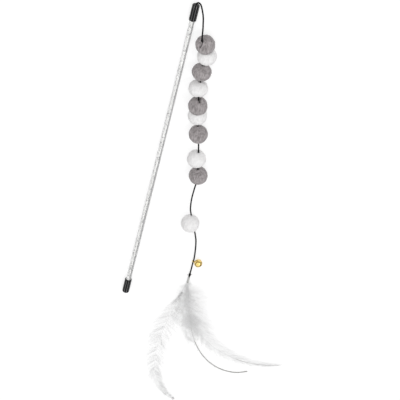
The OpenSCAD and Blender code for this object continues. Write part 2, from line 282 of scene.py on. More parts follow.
def grid_faces(rows: int, columns: int) -> np.ndarray:
    """The faces of a grid whose last column joins its first: (i, j), (i, j + 1), (i + 1, j + 1), (i + 1, j).

    Args:
        rows: the grid's rows.
        columns: its columns.

    Returns:
        Point numbers, rows - 1 by columns by four corners.
    """
    i, j = np.meshgrid(np.arange(rows - 1) * columns, np.arange(columns), indexing="ij")
    k = (j + 1) % columns
    return np.stack([i + j, i + k, i + columns + k, i + columns + j], -1)


def skin(rings: np.ndarray, capped: bool = True) -> Surface:
    """Cover a grid of points with faces.

    On the UV map, u goes round once and v is the length along the rows, in millimetres.

    Args:
        rings: the grid, rows by columns by x, y and z. The last column joins the first.
        capped: whether a fan of faces closes the first ring and another the last.

    Returns:
        The surface, facing outwards where the columns turn anticlockwise seen from ahead.
    """
    rows, columns = rings.shape[:2]
    walls = grid_faces(rows, columns)
    i, j = np.divmod(walls[..., 0], columns)
    steps = np.linalg.norm(np.diff(rings, axis=0), axis=-1).mean(axis=1)
    lengths = np.concatenate([[0.0], np.cumsum(steps)])
    u0, u1, v0, v1 = j / columns, (j + 1) / columns, lengths[i], lengths[i + 1]
    places = np.stack([np.stack(pair, -1) for pair in ((u0, v0), (u1, v0), (u1, v1), (u0, v1))], -2)
    made = Surface(rings.reshape(-1, 3), [walls.reshape(-1, 4)], [places.reshape(-1, 4, 2)])
    edge = np.arange(columns)
    following = (edge + 1) % columns
    for row, first, second in ((0, following, edge), (rows - 1, edge, following)) if capped else ():
        middle = np.full(columns, len(made.points))
        made.points = np.vstack([made.points, rings[row].mean(axis=0)])
        made.faces.append(np.stack([middle, row * columns + first, row * columns + second], -1))
        flat = np.stack([edge / columns, np.full(columns, lengths[row])], -1)
        made.corners.append(np.repeat(flat[:, None], 3, axis=1))
    return made


def tube(path: np.ndarray, radii: np.ndarray, sides: int, reference: np.ndarray = UP) -> Surface:
    """A closed tube: a point is path + radius * (up * cos(angle) + across * sin(angle)).

    Args:
        path: the middle line, in millimetres.
        radii: one radius for each point of the path, or one for each point and side.
        sides: how many points go round.
        reference: a direction that is never along the path.

    Returns:
        The tube's surface.
    """
    _, up, across = frames_along(path, reference)
    radii = radii if radii.ndim == 2 else radii[:, None]
    return skin(path[:, None] + radii[..., None] * circle(up, across, sides))


def lathe(
    profile: np.ndarray,
    start: np.ndarray,
    axis: np.ndarray,
    sides: int,
    turned: float = 0.0,
    capped: bool = True,
) -> Surface:
    """A profile turned about a level axis.

    A profile point (a, r) becomes the ring start + axis * a + r * (up * cos + across * sin).

    Args:
        profile: places along the axis and radii, one row for each ring, or one radius for each side.
        start: where the axis starts, in millimetres.
        axis: its direction, a unit vector.
        sides: how many points go round.
        turned: the angle of the first side, in radians.
        capped: whether the first and last rings are closed.

    Returns:
        The turned surface.
    """
    up = square_to(axis, UP)
    round_about = circle(up, np.cross(axis, up), sides, turned)
    return skin((start + profile[:, :1] * axis)[:, None] + profile[:, 1:, None] * round_about, capped)


def slivers(lines: np.ndarray, radii: np.ndarray, reference: np.ndarray = UP) -> Surface:
    """Closed three-sided slivers, one along each line.

    Args:
        lines: lines by steps by x, y and z.
        radii: a radius for each point of each line.
        reference: one direction, or one for each line, that is never along a line.

    Returns:
        All slivers as one surface.
    """
    count, steps = lines.shape[:2]
    _, up, across = frames_along(lines, reference)
    rings = lines[:, :, None] + radii[:, :, None, None] * circle(up, across, 3)
    last = (steps - 1) * 3
    first = (np.arange(count) * steps * 3)[:, None, None]
    walls = (first + grid_faces(steps, 3).reshape(-1, 4)).reshape(-1, 4)
    ends = (first + np.array([[0, 2, 1], [last, last + 1, last + 2]])).reshape(-1, 3)
    return Surface.plain(rings.reshape(-1, 3), [walls, ends])


def needles(starts: np.ndarray, ends: np.ndarray, radius: float) -> Surface:
    """Closed three-sided needles, each from a start to a pointed end.

    Args:
        starts: where the needles stand.
        ends: their points.
        radius: the radius at their foot.

    Returns:
        All needles as one surface.
    """
    ahead = unit(ends - starts)
    up = square_to(ahead, np.where(np.abs(ahead[:, 2:]) < 0.8, UP, [1.0, 0.0, 0.0]))
    feet = starts[:, None] + radius * circle(up, np.cross(ahead, up), 3)
    points = np.concatenate([feet, ends[:, None]], axis=1).reshape(-1, 3)
    sides = np.array([[0, 1, 3], [1, 2, 3], [2, 0, 3], [0, 2, 1]])
    return Surface.plain(points, [((np.arange(len(starts)) * 4)[:, None, None] + sides).reshape(-1, 3)])


def add_object(name: str, data: bpy.types.ID) -> bpy.types.Object:
    """A new object in the scene, at the origin.

    Args:
        name: its name.
        data: its mesh, camera or lamp.

    Returns:
        The object.
    """
    made = bpy.data.objects.new(name, data)
    bpy.context.scene.collection.objects.link(made)
    return made


def make_piece(
    name: str,
    surface: Surface,
    finishes: list[bpy.types.Material],
    replaces: tuple[str, ...],
    body: str | None = None,
    parts: list[int] | None = None,
    sharp: float = 180.0,
) -> bpy.types.Object:
    """Put a surface into a mesh object at the origin.

    Args:
        name: the piece's name.
        surface: its shape, in millimetres.
        finishes: its materials.
        replaces: the CAD nodes that it stands for.
        body: the body that it rides on, or None for a piece that rides on none.
        parts: for each array of faces, the number of its material, or None for the first.
        sharp: edges with a wider angle than this, in degrees, stay sharp.

    Returns:
        The object.
    """
    mesh = bpy.data.meshes.new(name)
    sizes = np.concatenate([np.full(len(faces), faces.shape[1]) for faces in surface.faces])
    corners = np.concatenate([faces.ravel() for faces in surface.faces]).astype(np.int32)
    mesh.vertices.add(len(surface.points))
    mesh.vertices.foreach_set("co", (surface.points * MM).astype(np.float32).ravel())
    mesh.loops.add(len(corners))
    mesh.loops.foreach_set("vertex_index", corners)
    mesh.polygons.add(len(sizes))
    mesh.polygons.foreach_set("loop_start", (np.cumsum(sizes) - sizes).astype(np.int32))
    mesh.update(calc_edges=True)
    flat = np.concatenate([places.ravel() for places in surface.corners]).astype(np.float32)
    mesh.uv_layers.new(name="UVMap").data.foreach_set("uv", flat)
    for finish in finishes:
        mesh.materials.append(finish)
    if parts is not None:
        numbers = np.repeat(parts, [len(faces) for faces in surface.faces])
        mesh.polygons.foreach_set("material_index", numbers.astype(np.int32))
    mesh.shade_smooth()
    if sharp < 180.0:
        mesh.set_sharp_from_angle(angle=math.radians(sharp))
    mesh.validate()
    made = add_object(name, mesh)
    if body is not None:
        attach(made, body)
    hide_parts(*replaces)
    low, high = surface.points.min(axis=0), surface.points.max(axis=0)
    LOG.info("%s: %d faces, %s to %s mm", name, len(sizes), low.round(1), high.round(1))
    return made


def linear(colour: str) -> tuple[float, float, float, float]:
    """An sRGB hex colour, such as "#a0b1c2", as linear red, green, blue and an alpha of one."""
    values = [int(colour[i : i + 2], 16) / 255 for i in (1, 3, 5)]
    return (*[v / 12.92 if v <= 0.04045 else ((v + 0.055) / 1.055) ** 2.4 for v in values], 1.0)


def add_node(tree: bpy.types.NodeTree, kind: str, inputs: dict | None = None, **settings) -> bpy.types.Node:
    """Add one node to a material.

    Args:
        tree: the material's node tree.
        kind: the node's type, without the word ShaderNode.
        inputs: for each socket's name or number, a value, an output to link, or a node whose first
            output is linked.
        **settings: the node's own settings.

    Returns:
        The node.
    """
    made = tree.nodes.new("ShaderNode" + kind)
    for name, value in settings.items():
        setattr(made, name, value)
    for name, value in (inputs or {}).items():
        value = value.outputs[0] if isinstance(value, bpy.types.Node) else value
        if isinstance(value, bpy.types.NodeSocket):
            tree.links.new(value, made.inputs[name])
        else:
            made.inputs[name].default_value = value
    return made


def start_material(name: str) -> tuple[Callable, Callable, bpy.types.bpy_prop_collection]:
    """A new material with an empty node tree.

    Args:
        name: the material's name.

    Returns:
        A function that adds a node to it, a function that links its surface shader and returns it,
        and the outputs of its Texture Coordinate node.
    """
    material = bpy.data.materials.new(name)
    material.use_nodes = True
    material.node_tree.nodes.clear()
    add = partial(add_node, material.node_tree)

    def finish(shader: bpy.types.Node) -> bpy.types.Material:
        """The material, with this surface shader linked to its output."""
        add("OutputMaterial", {"Surface": shader})
        return material

    return add, finish, add("TexCoord").outputs


# Lengths in the finishes are millimetres, real ones unless the finish says that they are coarser.
# A texture's scale is 1000 over its length, because Object coordinates are metres.


@dataclass(frozen=True)
class ClearAcrylic:
    """Extruded acrylic tube: clear, glossy, with faint die lines along it."""

    name: str = "clear_acrylic"
    tint: str = "#fdfdfc"
    line_pitch: float = 0.9

    def build(self) -> bpy.types.Material:
        """The material: a smooth glass with an extruder's faint waves in its normal.

        Returns:
            The material.
        """
        add, finish, place = start_material(self.name)
        drawn = add("Mapping", {"Vector": place["Object"], "Scale": (1, 0.02, 1)})
        lines = add("TexNoise", {"Vector": drawn, "Scale": 1000 / self.line_pitch, "Detail": 2.0})
        bump = add("Bump", {"Height": lines, "Strength": 0.12, "Distance": 0.05 * MM})
        look = {"Roughness": 0.03, "IOR": 1.49, "Transmission Weight": 1.0}
        return finish(add("BsdfPrincipled", {"Base Color": linear(self.tint), "Normal": bump, **look}))


@dataclass(frozen=True)
class GlitterFoil:
    """Polyester film with glued glitter: each flake tilts its own way, so some flash and some go dark.

    Real flakes measure 0.1 to 0.2 mm. They are drawn coarser, so that they show in the render. The line
    of painted shade along the seam and the wider band of painted shade are measured on the UV map, as
    shares of once round the film.
    """

    name: str = "glitter_film"
    silver: str = "#f8f8f8"
    white: str = "#ffffff"
    dark: str = "#7a7a7c"
    # Painted shade: the grey of the line along the seam and of the band round the right flank
    bare: str = "#7c7c7e"
    # Painted light: the film glows a little, though it is no lamp
    glow: float = 0.17
    flake: float = 0.95
    dust: float = 0.3
    tilt: float = 0.6
    seam_shade: float = 0.0085
    shade_band: float = 0.21

    def build(self) -> bpy.types.Material:
        """The material: two sizes of flakes as cells with random levels and tilts, painted shade and a glow.

        A thin line of painted shade lies along the film's outer edge, where its UV map starts, and a wider
        band of painted shade fades from it round the rod's right flank. The film also glows a little, as
        painted light for the light that the glass tube keeps from it.

        Returns:
            The material.
        """
        add, finish, place = start_material(self.name)
        big, small = (
            add("TexVoronoi", {"Vector": place["Object"], "Scale": 1000 / size}).outputs["Color"]
            for size in (self.flake, self.dust)
        )
        chance = add("SeparateColor", {"Color": big})
        fine = add("SeparateColor", {"Color": small}).outputs
        dark = add("MapRange", {"Value": chance, "From Min": 0.8, "From Max": 0.88, "To Max": 0.85})
        bright = add("MapRange", {"Value": fine[1], "From Min": 0.45, "From Max": 0.7})
        across = add("SeparateXYZ", {"Vector": place["UV"]})
        # A thin line of painted shade along the seam, with a ragged edge
        ragged = add("Math", {0: fine[2], 1: self.seam_shade * 0.9, 2: across}, operation="MULTIPLY_ADD")
        edge = {"From Min": self.seam_shade * 1.2, "From Max": self.seam_shade * 2.4, "To Min": 0.85, "To Max": 0.0}
        seam_shade = add("MapRange", {"Value": ragged, **edge})
        # A wider band of painted shade, fading from the seam round the rod's right flank
        shade_band_limits = {"From Min": 0.01, "From Max": self.shade_band, "To Min": 0.75, "To Max": 0.0}
        overlap = add("MapRange", {"Value": across, **shade_band_limits})
        colour = linear(self.silver)
        shares = ((bright, self.white), (dark, self.dark), (overlap, self.bare), (seam_shade, self.bare))
        for share, other in shares:
            colour = add("Mix", {0: share, 6: colour, 7: linear(other)}, data_type="RGBA").outputs[2]
        spread = add("VectorMath", {0: big, 1: (0.5, 0.5, 0.5)}, operation="SUBTRACT")
        tilt = add("VectorMath", {0: spread, "Scale": self.tilt}, operation="SCALE")
        turned = add("VectorMath", {0: add("NewGeometry").outputs["Normal"], 1: tilt}, operation="ADD")
        normal = add("VectorMath", {0: turned}, operation="NORMALIZE")
        # A faint glow in the film's own colour: painted light
        light = {"Emission Color": linear(self.silver), "Emission Strength": self.glow}
        look = {"Metallic": 0.08, "Roughness": 0.35, "Normal": normal}
        return finish(add("BsdfPrincipled", {"Base Color": colour, **look, **light}))


@dataclass(frozen=True)
class MouldedRubber:
    """Injection-moulded soft PVC: deep black, satin, with a fine spark-eroded grain.

    A real grain is about 0.05 mm. It is drawn coarser, so that it breaks the highlight.
    """

    name: str = "black_cap"
    black: str = "#0b0b0c"
    worn: str = "#171718"
    # Pale grey painted along the grooves as their highlight
    painted_groove_highlight: str = "#7a7a7c"
    grain: float = 0.25
    wear: float = 20 / 7

    def build(self) -> bpy.types.Material:
        """The material: black with faint cloudy wear, a painted highlight along the grooves and a fine grain.

        On the UV map u goes once round the cap, and a groove lies halfway between two whole u * ribs.

        Returns:
            The material.
        """
        add, finish, place = start_material(self.name)
        grain = add("TexNoise", {"Vector": place["Object"], "Scale": 1000 / self.grain, "Detail": 3.0})
        cloud = add("TexNoise", {"Vector": place["Object"], "Scale": 1000 / self.wear, "Detail": 4.0})
        amount = add("MapRange", {"Value": cloud, "From Min": 0.5, "From Max": 0.75, "To Max": 0.6})
        colour = add("Mix", {0: amount, 6: linear(self.black), 7: linear(self.worn)}, data_type="RGBA")
        groove = add("SeparateXYZ", {"Vector": place["UV"]})
        steps = (("MULTIPLY", float(RIBS)), ("PINGPONG", 1.0), ("SUBTRACT", 0.5), ("ABSOLUTE", 0.0))
        for operation, number in steps:
            groove = add("Math", {0: groove, 1: number}, operation=operation)
        # A painted highlight: pale grey along the middle of each groove
        groove_highlight_width = {"From Min": 0.09, "From Max": 0.15, "To Min": 0.8, "To Max": 0.0}
        groove_highlight_mask = add("MapRange", {"Value": groove, **groove_highlight_width})
        colour = add("Mix", {0: groove_highlight_mask, 6: colour.outputs[2], 7: linear(self.painted_groove_highlight)}, data_type="RGBA")
        rough = add("MapRange", {"Value": cloud, "To Min": 0.3, "To Max": 0.42})
        bump = add("Bump", {"Height": grain, "Strength": 0.25, "Distance": 0.05 * MM})
        look = {"Roughness": rough, "IOR": 1.5, "Specular IOR Level": 0.14}
        return finish(add("BsdfPrincipled", {"Base Color": colour.outputs[2], "Normal": bump, **look}))


@dataclass(frozen=True)
class BraidedElastic:
    """Polyester-covered elastic: a matt charcoal braid, slightly lighter on the crowns of its strands.

    A real filament is about 0.02 mm thick. It is drawn coarser, so that the yarn shows.
    """

    name: str = "elastic_cord"
    yarn: str = "#0f0f10"
    crown: str = "#1d1d1f"
    filament: float = 0.12

    def build(self) -> bpy.types.Material:
        """The material: dark yarn with lighter filaments along the cord.

        Returns:
            The material.
        """
        add, finish, place = start_material(self.name)
        drawn = add("Mapping", {"Vector": place["Object"], "Scale": (1, 0.35, 1)})
        hairs = add("TexNoise", {"Vector": drawn, "Scale": 1000 / self.filament, "Detail": 3.0})
        amount = add("MapRange", {"Value": hairs, "From Min": 0.4, "From Max": 0.75})
        colour = add("Mix", {0: amount, 6: linear(self.yarn), 7: linear(self.crown)}, data_type="RGBA")
        bump = add("Bump", {"Height": hairs, "Strength": 0.4, "Distance": 0.06 * MM})
        look = {"Roughness": 0.78, "Specular IOR Level": 0.12, "Sheen Weight": 0.03, "Sheen Roughness": 0.4}
        return finish(add("BsdfPrincipled", {"Base Color": colour.outputs[2], "Normal": bump, **look}))


@dataclass(frozen=True)
class WoolFelt:
    """Needle-felted wool: dull, soft-edged, with streaks of lighter and darker fibre along the ball.

    A real fibre is about 0.03 mm thick. It is drawn coarser, so that the felt looks hairy.
    """

    name: str
    light: str
    deep: str
    streak: float = 1.2
    fibre: float = 0.3
    clump: float = 5.0

    def build(self) -> bpy.types.Material:
        """The material: streaky and clumpy colour, and a fibrous relief.

        Returns:
            The material.
        """
        add, finish, place = start_material(self.name)
        drawn = add("Mapping", {"Vector": place["Object"], "Scale": (1, 0.13, 1)})
        streaks = add("TexNoise", {"Vector": drawn, "Scale": 1000 / self.streak, "Detail": 5.0})
        clumps = add("TexNoise", {"Vector": place["Object"], "Scale": 1000 / self.clump, "Detail": 2.0})
        curly = {"Scale": 1000 / self.fibre, "Detail": 3.0, "Distortion": 1.2}
        fibres = add("TexNoise", {"Vector": place["Object"], **curly})
        both = add("Math", {0: clumps, 1: 0.4, 2: streaks}, operation="MULTIPLY_ADD")
        amount = add("MapRange", {"Value": both, "From Min": 0.5, "From Max": 0.9})
        colour = add("Mix", {0: amount, 6: linear(self.deep), 7: linear(self.light)}, data_type="RGBA")
        height = add("Math", {0: streaks, 1: fibres}, operation="ADD")
        bump = add("Bump", {"Height": height, "Strength": 0.7, "Distance": 0.3 * MM})
        look = {"Roughness": 0.95, "Specular IOR Level": 0.2, "Sheen Weight": 0.12, "Sheen Roughness": 0.6}
        return finish(add("BsdfPrincipled", {"Base Color": colour.outputs[2], "Normal": bump, **look}))


@dataclass(frozen=True)
class PlatedMetal:
    """Thin pressed sheet, plated and tumbled: bright, with faint dents and cloudy patches."""

    name: str
    bright: str
    dull: str
    smoothness: float
    dent: float = 2.2
    scratch: float = 0.25

    def build(self) -> bpy.types.Material:
        """The material: a metal with two tones and a soft dented relief.

        Returns:
            The material.
        """
        add, finish, place = start_material(self.name)
        cloud = add("TexNoise", {"Vector": place["Object"], "Scale": 1000 / self.dent, "Detail": 3.0})
        fine = add("TexNoise", {"Vector": place["Object"], "Scale": 1000 / self.scratch, "Detail": 2.0})
        amount = add("MapRange", {"Value": cloud, "From Min": 0.4, "From Max": 0.7})
        colour = add("Mix", {0: amount, 6: linear(self.bright), 7: linear(self.dull)}, data_type="RGBA")
        limits = {"To Min": self.smoothness - 0.05, "To Max": self.smoothness + 0.09}
        rough = add("MapRange", {"Value": fine, **limits})
        bump = add("Bump", {"Height": cloud, "Strength": 0.2, "Distance": 0.15 * MM})
        look = {"Metallic": 1.0, "Roughness": rough, "Normal": bump}
        return finish(add("BsdfPrincipled", {"Base Color": colour.outputs[2], **look}))


@dataclass(frozen=True)
class SpunThread:
    """Twisted cotton thread: pale, matt, with its plies showing as slanted lines."""

    name: str = "binding_thread"
    pale: str = "#c9c9c6"
    shade: str = "#9d9d9b"
    ply: float = 0.3

    def build(self) -> bpy.types.Material:
        """The material: pale thread with darker hollows between plies.

        Returns:
            The material.
        """
        add, finish, place = start_material(self.name)
        plies = add("TexNoise", {"Vector": place["Object"], "Scale": 1000 / self.ply, "Detail": 3.0})
        colour = add("Mix", {0: plies, 6: linear(self.shade), 7: linear(self.pale)}, data_type="RGBA")
        bump = add("Bump", {"Height": plies, "Strength": 0.5, "Distance": 0.08 * MM})
        look = {"Roughness": 0.85, "Sheen Weight": 0.2}
        return finish(add("BsdfPrincipled", {"Base Color": colour.outputs[2], "Normal": bump, **look}))


@dataclass(frozen=True)
class Feather:
    """Bleached feather keratin: white, silky, with a slightly warmer, denser shaft."""

    name: str
    white: str
    shade: str
    roughness: float = 0.6
    sheen: float = 0.3
    patch: float = 4.0

    def build(self) -> bpy.types.Material:
        """The material: near white with faint patches, and a soft sheen.

        Returns:
            The material.
        """
        add, finish, place = start_material(self.name)
        patches = add("TexNoise", {"Vector": place["Object"], "Scale": 1000 / self.patch, "Detail": 4.0})
        colour = add("Mix", {0: patches, 6: linear(self.shade), 7: linear(self.white)}, data_type="RGBA")
        bump = add("Bump", {"Height": patches, "Strength": 0.2, "Distance": 0.05 * MM})
        look = {"Normal": bump, "Roughness": self.roughness, "Specular IOR Level": 0.35}
        silk = {"Sheen Weight": self.sheen, "Sheen Roughness": 0.4}
        return finish(add("BsdfPrincipled", {"Base Color": colour.outputs[2], **look, **silk}))


@dataclass(frozen=True)
class OpalTable:
    """The opal top of a light table: white, and lit from below, so that hardly any shadow stays on it."""

    name: str = "opal_table"
    white: str = "#989898"
    glow: float = 0.7
    tooth: float = 1.2

    def build(self) -> bpy.types.Material:
        """The material: a matt white that shines evenly, with a fine tooth in its roughness.

        Returns:
            The material.
        """
        add, finish, place = start_material(self.name)
        tooth = add("TexNoise", {"Vector": place["Object"], "Scale": 1000 / self.tooth})
        rough = add("MapRange", {"Value": tooth, "To Min": 0.85, "To Max": 1.0})
        light = {"Emission Color": linear("#ffffff"), "Emission Strength": self.glow}
        look = {"Base Color": linear(self.white), "Roughness": rough, "Specular IOR Level": 0.0}
        return finish(add("BsdfPrincipled", {**look, **light}))


@dataclass
class Finishes:
    """Every material of the wand, made once."""

    acrylic: bpy.types.Material = field(default_factory=ClearAcrylic().build)
    glitter: bpy.types.Material = field(default_factory=GlitterFoil().build)
    rubber: bpy.types.Material = field(default_factory=MouldedRubber().build)
    elastic: bpy.types.Material = field(default_factory=BraidedElastic().build)
    grey_wool: bpy.types.Material = field(default_factory=WoolFelt("grey_felt", "#b3adae", "#7b7676").build)
    white_wool: bpy.types.Material = field(default_factory=WoolFelt("white_felt", "#f0efef", "#e0dfdf").build)
    brass: bpy.types.Material = field(
        default_factory=PlatedMetal("bell_brass", "#f2d98c", "#d6ad5c", smoothness=0.17).build
    )
    steel: bpy.types.Material = field(
        default_factory=PlatedMetal("pellet_steel", "#b9babd", "#8d8e92", smoothness=0.3).build
    )
    thread: bpy.types.Material = field(default_factory=SpunThread().build)
    vane: bpy.types.Material = field(default_factory=Feather("white_feather", "#dedede", "#d0d0d0").build)
    shaft: bpy.types.Material = field(
        default_factory=Feather("feather_shaft", "#b1b0ae", "#8e8d8b", 0.5, sheen=0.1, patch=6.0).build
    )
    down: bpy.types.Material = field(
        default_factory=Feather("white_down", "#fafafa", "#f1f1f1", 0.85, sheen=0.2, patch=3.0).build
    )


@dataclass
class Studio:
    """The camera of the photograph, a light table and soft light.

    Each lamp is a square softbox, given by its name, its place, its side in metres and its watts.
    """

    azimuth: float = 192.2
    elevation: float = 53.14
    distance: float = 1.989
    lens: float = 150.5
    target: tuple[float, float, float] = (0.06093, -0.0543, 0.0)
    floor_side: float = 12.0
    sky: float = 1.12
    horizon: float = 0.12
    aim: tuple[float, float, float] = (0.05, -0.05, 0.0)
    lamps: tuple = (("key", (1.03, 0.3, 1.9), 0.55, 7.0), ("fill", (-0.45, 1.25, 1.75), 1.2, 6.0))

    def camera(self) -> None:
        """The camera: it looks down at the wand from beyond its tip, turned so that the tip is on top."""
        a, e = math.radians(self.azimuth), math.radians(self.elevation)
        back = Vector((math.sin(a) * math.cos(e), -math.cos(a) * math.cos(e), math.sin(e)))
        right = Vector((-math.cos(a), -math.sin(a), 0.0))
        data = bpy.data.cameras.new("camera")
        data.lens, data.sensor_width, data.clip_end = self.lens, 36.0, 50.0
        made = add_object("camera", data)
        turn = Matrix((right, back.cross(right), back)).transposed().to_4x4()
        made.matrix_world = Matrix.Translation(Vector(self.target) + back * self.distance) @ turn
        bpy.context.scene.camera = made
        LOG.info("camera at %s", tuple(round(x, 3) for x in made.location))

    def floor(self) -> None:
        """The table: a plain lit sheet under everything."""
        mesh = bpy.data.meshes.new("floor")
        half = self.floor_side / 2
        corners = [(-half, -half, 0), (half, -half, 0), (half, half, 0), (-half, half, 0)]
        mesh.from_pydata(corners, [], [(0, 1, 2, 3)])
        mesh.materials.append(OpalTable().build())
        add_object("floor", mesh)

    def lights(self) -> None:
        """The softboxes, each turned towards the wand's middle."""
        for name, place, side, power in self.lamps:
            data = bpy.data.lights.new(name, "AREA")
            data.shape, data.size, data.energy = "SQUARE", side, power
            made = add_object(name, data)
            made.location = place
            made.rotation_euler = (Vector(place) - Vector(self.aim)).to_track_quat("Z", "Y").to_euler()

    def sky_light(self) -> None:
        """A white ceiling over dark walls, so that round metal and black plastic have dark edges."""
        world = bpy.data.worlds.new("studio")
        world.use_nodes = True
        world.node_tree.nodes.clear()
        add = partial(add_node, world.node_tree)
        split = add("SeparateXYZ", {"Vector": add("TexCoord").outputs["Generated"]})
        rise = {"From Min": 0.22, "From Max": 0.55, "To Min": self.horizon, "To Max": self.sky}
        level = add("MapRange", {"Value": split.outputs[2], **rise})
        add("OutputWorld", {"Surface": add("Background", {"Color": linear("#ffffff"), "Strength": level})})
        bpy.context.scene.world = world

    def build(self) -> None:
        """Set up the floor, the sky and the softboxes."""
        self.floor()
        self.sky_light()
        self.lights()
        bpy.context.scene.view_settings.view_transform = "Standard"


@dataclass
class Rod:
    """The clear tube and the glitter film that is rolled up inside it.

    The film's seam wanders: each wave is a swing in degrees, a length in millimetres and a phase.
    """

    finishes: Finishes
    length: float = 400.0
    outer: float = 3.0
    wall: float = 0.6
    edge: float = 0.12
    sides: int = 96
    film_rows: int = 160
    film_columns: int = 84
    film_setback: float = 1.0
    film_thickness: float = 0.16
    film_bite: float = 0.05
    lap_gap: float = 0.05
    overlap: float = 24.0
    tuck_start: float = 300.0
    tuck_turn: float = 60.0
    seam_start: float = 11.0
    seam_waves: tuple[tuple[float, float, float], ...] = ((5.0, 70.0, 0.0), (2.5, 23.0, 1.0))
    ripple: float = 0.04
    ripple_length: float = 9.0

    def tube(self) -> None:
        """The tube: a rectangle with eased corners, turned about the rod's axis."""
        outer, half, edge = self.outer, self.length / 2, self.edge
        inner = outer - self.wall
        near = [(edge, inner), (0, inner + edge), (0, outer - edge), (edge, outer), (2 * edge, outer)]
        near = np.array(near) - (half, 0)
        far = near[::-1] * (-1, 1)
        profile = np.vstack([near, far, [(half - 2 * edge, inner), (2 * edge - half, inner)], near[:1]])
        surface = lathe(profile, UP * ROD_HEIGHT, NORTH, self.sides, capped=False)
        last = (len(profile) - 1) * self.sides  # the last ring lies on the first, and becomes one with it
        surface = Surface(surface.points[:last], [faces % last for faces in surface.faces], surface.corners)
        finishes = [self.finishes.acrylic]
        make_piece("clear_tube", surface, finishes, ("rod_tube",), "wand", sharp=50)

    def film(self) -> None:
        """The film: a spiral section that overlaps itself at a seam, and the seam wanders along the rod.

        Its outer layer is wetted to the tube's wall, so it stands a hair inside it and no air shows
        between. A point of the section is r(a) * (cos(a + seam), sin(a + seam)), where the radius r
        falls by the film's thickness over its overlapping end, and the inner side is the same a
        thickness further in.
        """
        rows, columns, half = self.film_rows, self.film_columns, self.length / 2 - self.film_setback
        along = np.linspace(-half, half, rows)
        turn = np.linspace(0.0, 360.0 + self.overlap, columns)
        tuck = smooth_step((turn - self.tuck_start) / self.tuck_turn) * (self.film_thickness + self.lap_gap)
        outside = self.outer - self.wall + self.film_bite - tuck
        section = np.concatenate([outside, (outside - self.film_thickness)[::-1]])
        angles = np.concatenate([turn, turn[::-1]])
        seam = self.seam_start + sum(
            swing * np.sin(along / wave + phase) for swing, wave, phase in self.seam_waves
        )
        ripple = self.ripple * np.sin(along / self.ripple_length)[:, None] * np.sin(np.radians(angles) * 3)
        angles = np.radians(angles + seam[:, None])
        radius = section - np.abs(ripple)
        level = np.broadcast_to(along[:, None], angles.shape)
        rings = np.stack([radius * np.sin(angles), level, ROD_HEIGHT + radius * np.cos(angles)], axis=-1)
        surface = skin(rings, capped=False)
        count, j = columns * 2, np.arange(columns - 1)
        near = np.stack([j, count - 1 - j, count - 2 - j, j + 1], -1)
        far = (rows - 1) * count + near[:, [0, 3, 2, 1]]
        surface.faces += [near, far]
        surface.corners += [np.zeros((*ends.shape, 2)) for ends in (near, far)]
        finishes = [self.finishes.glitter]
        make_piece("rolled_film", surface, finishes, ("glitter_film",), "wand", sharp=60)

    def build(self) -> None:
        """Make the tube and the film."""
        self.tube()
        self.film()


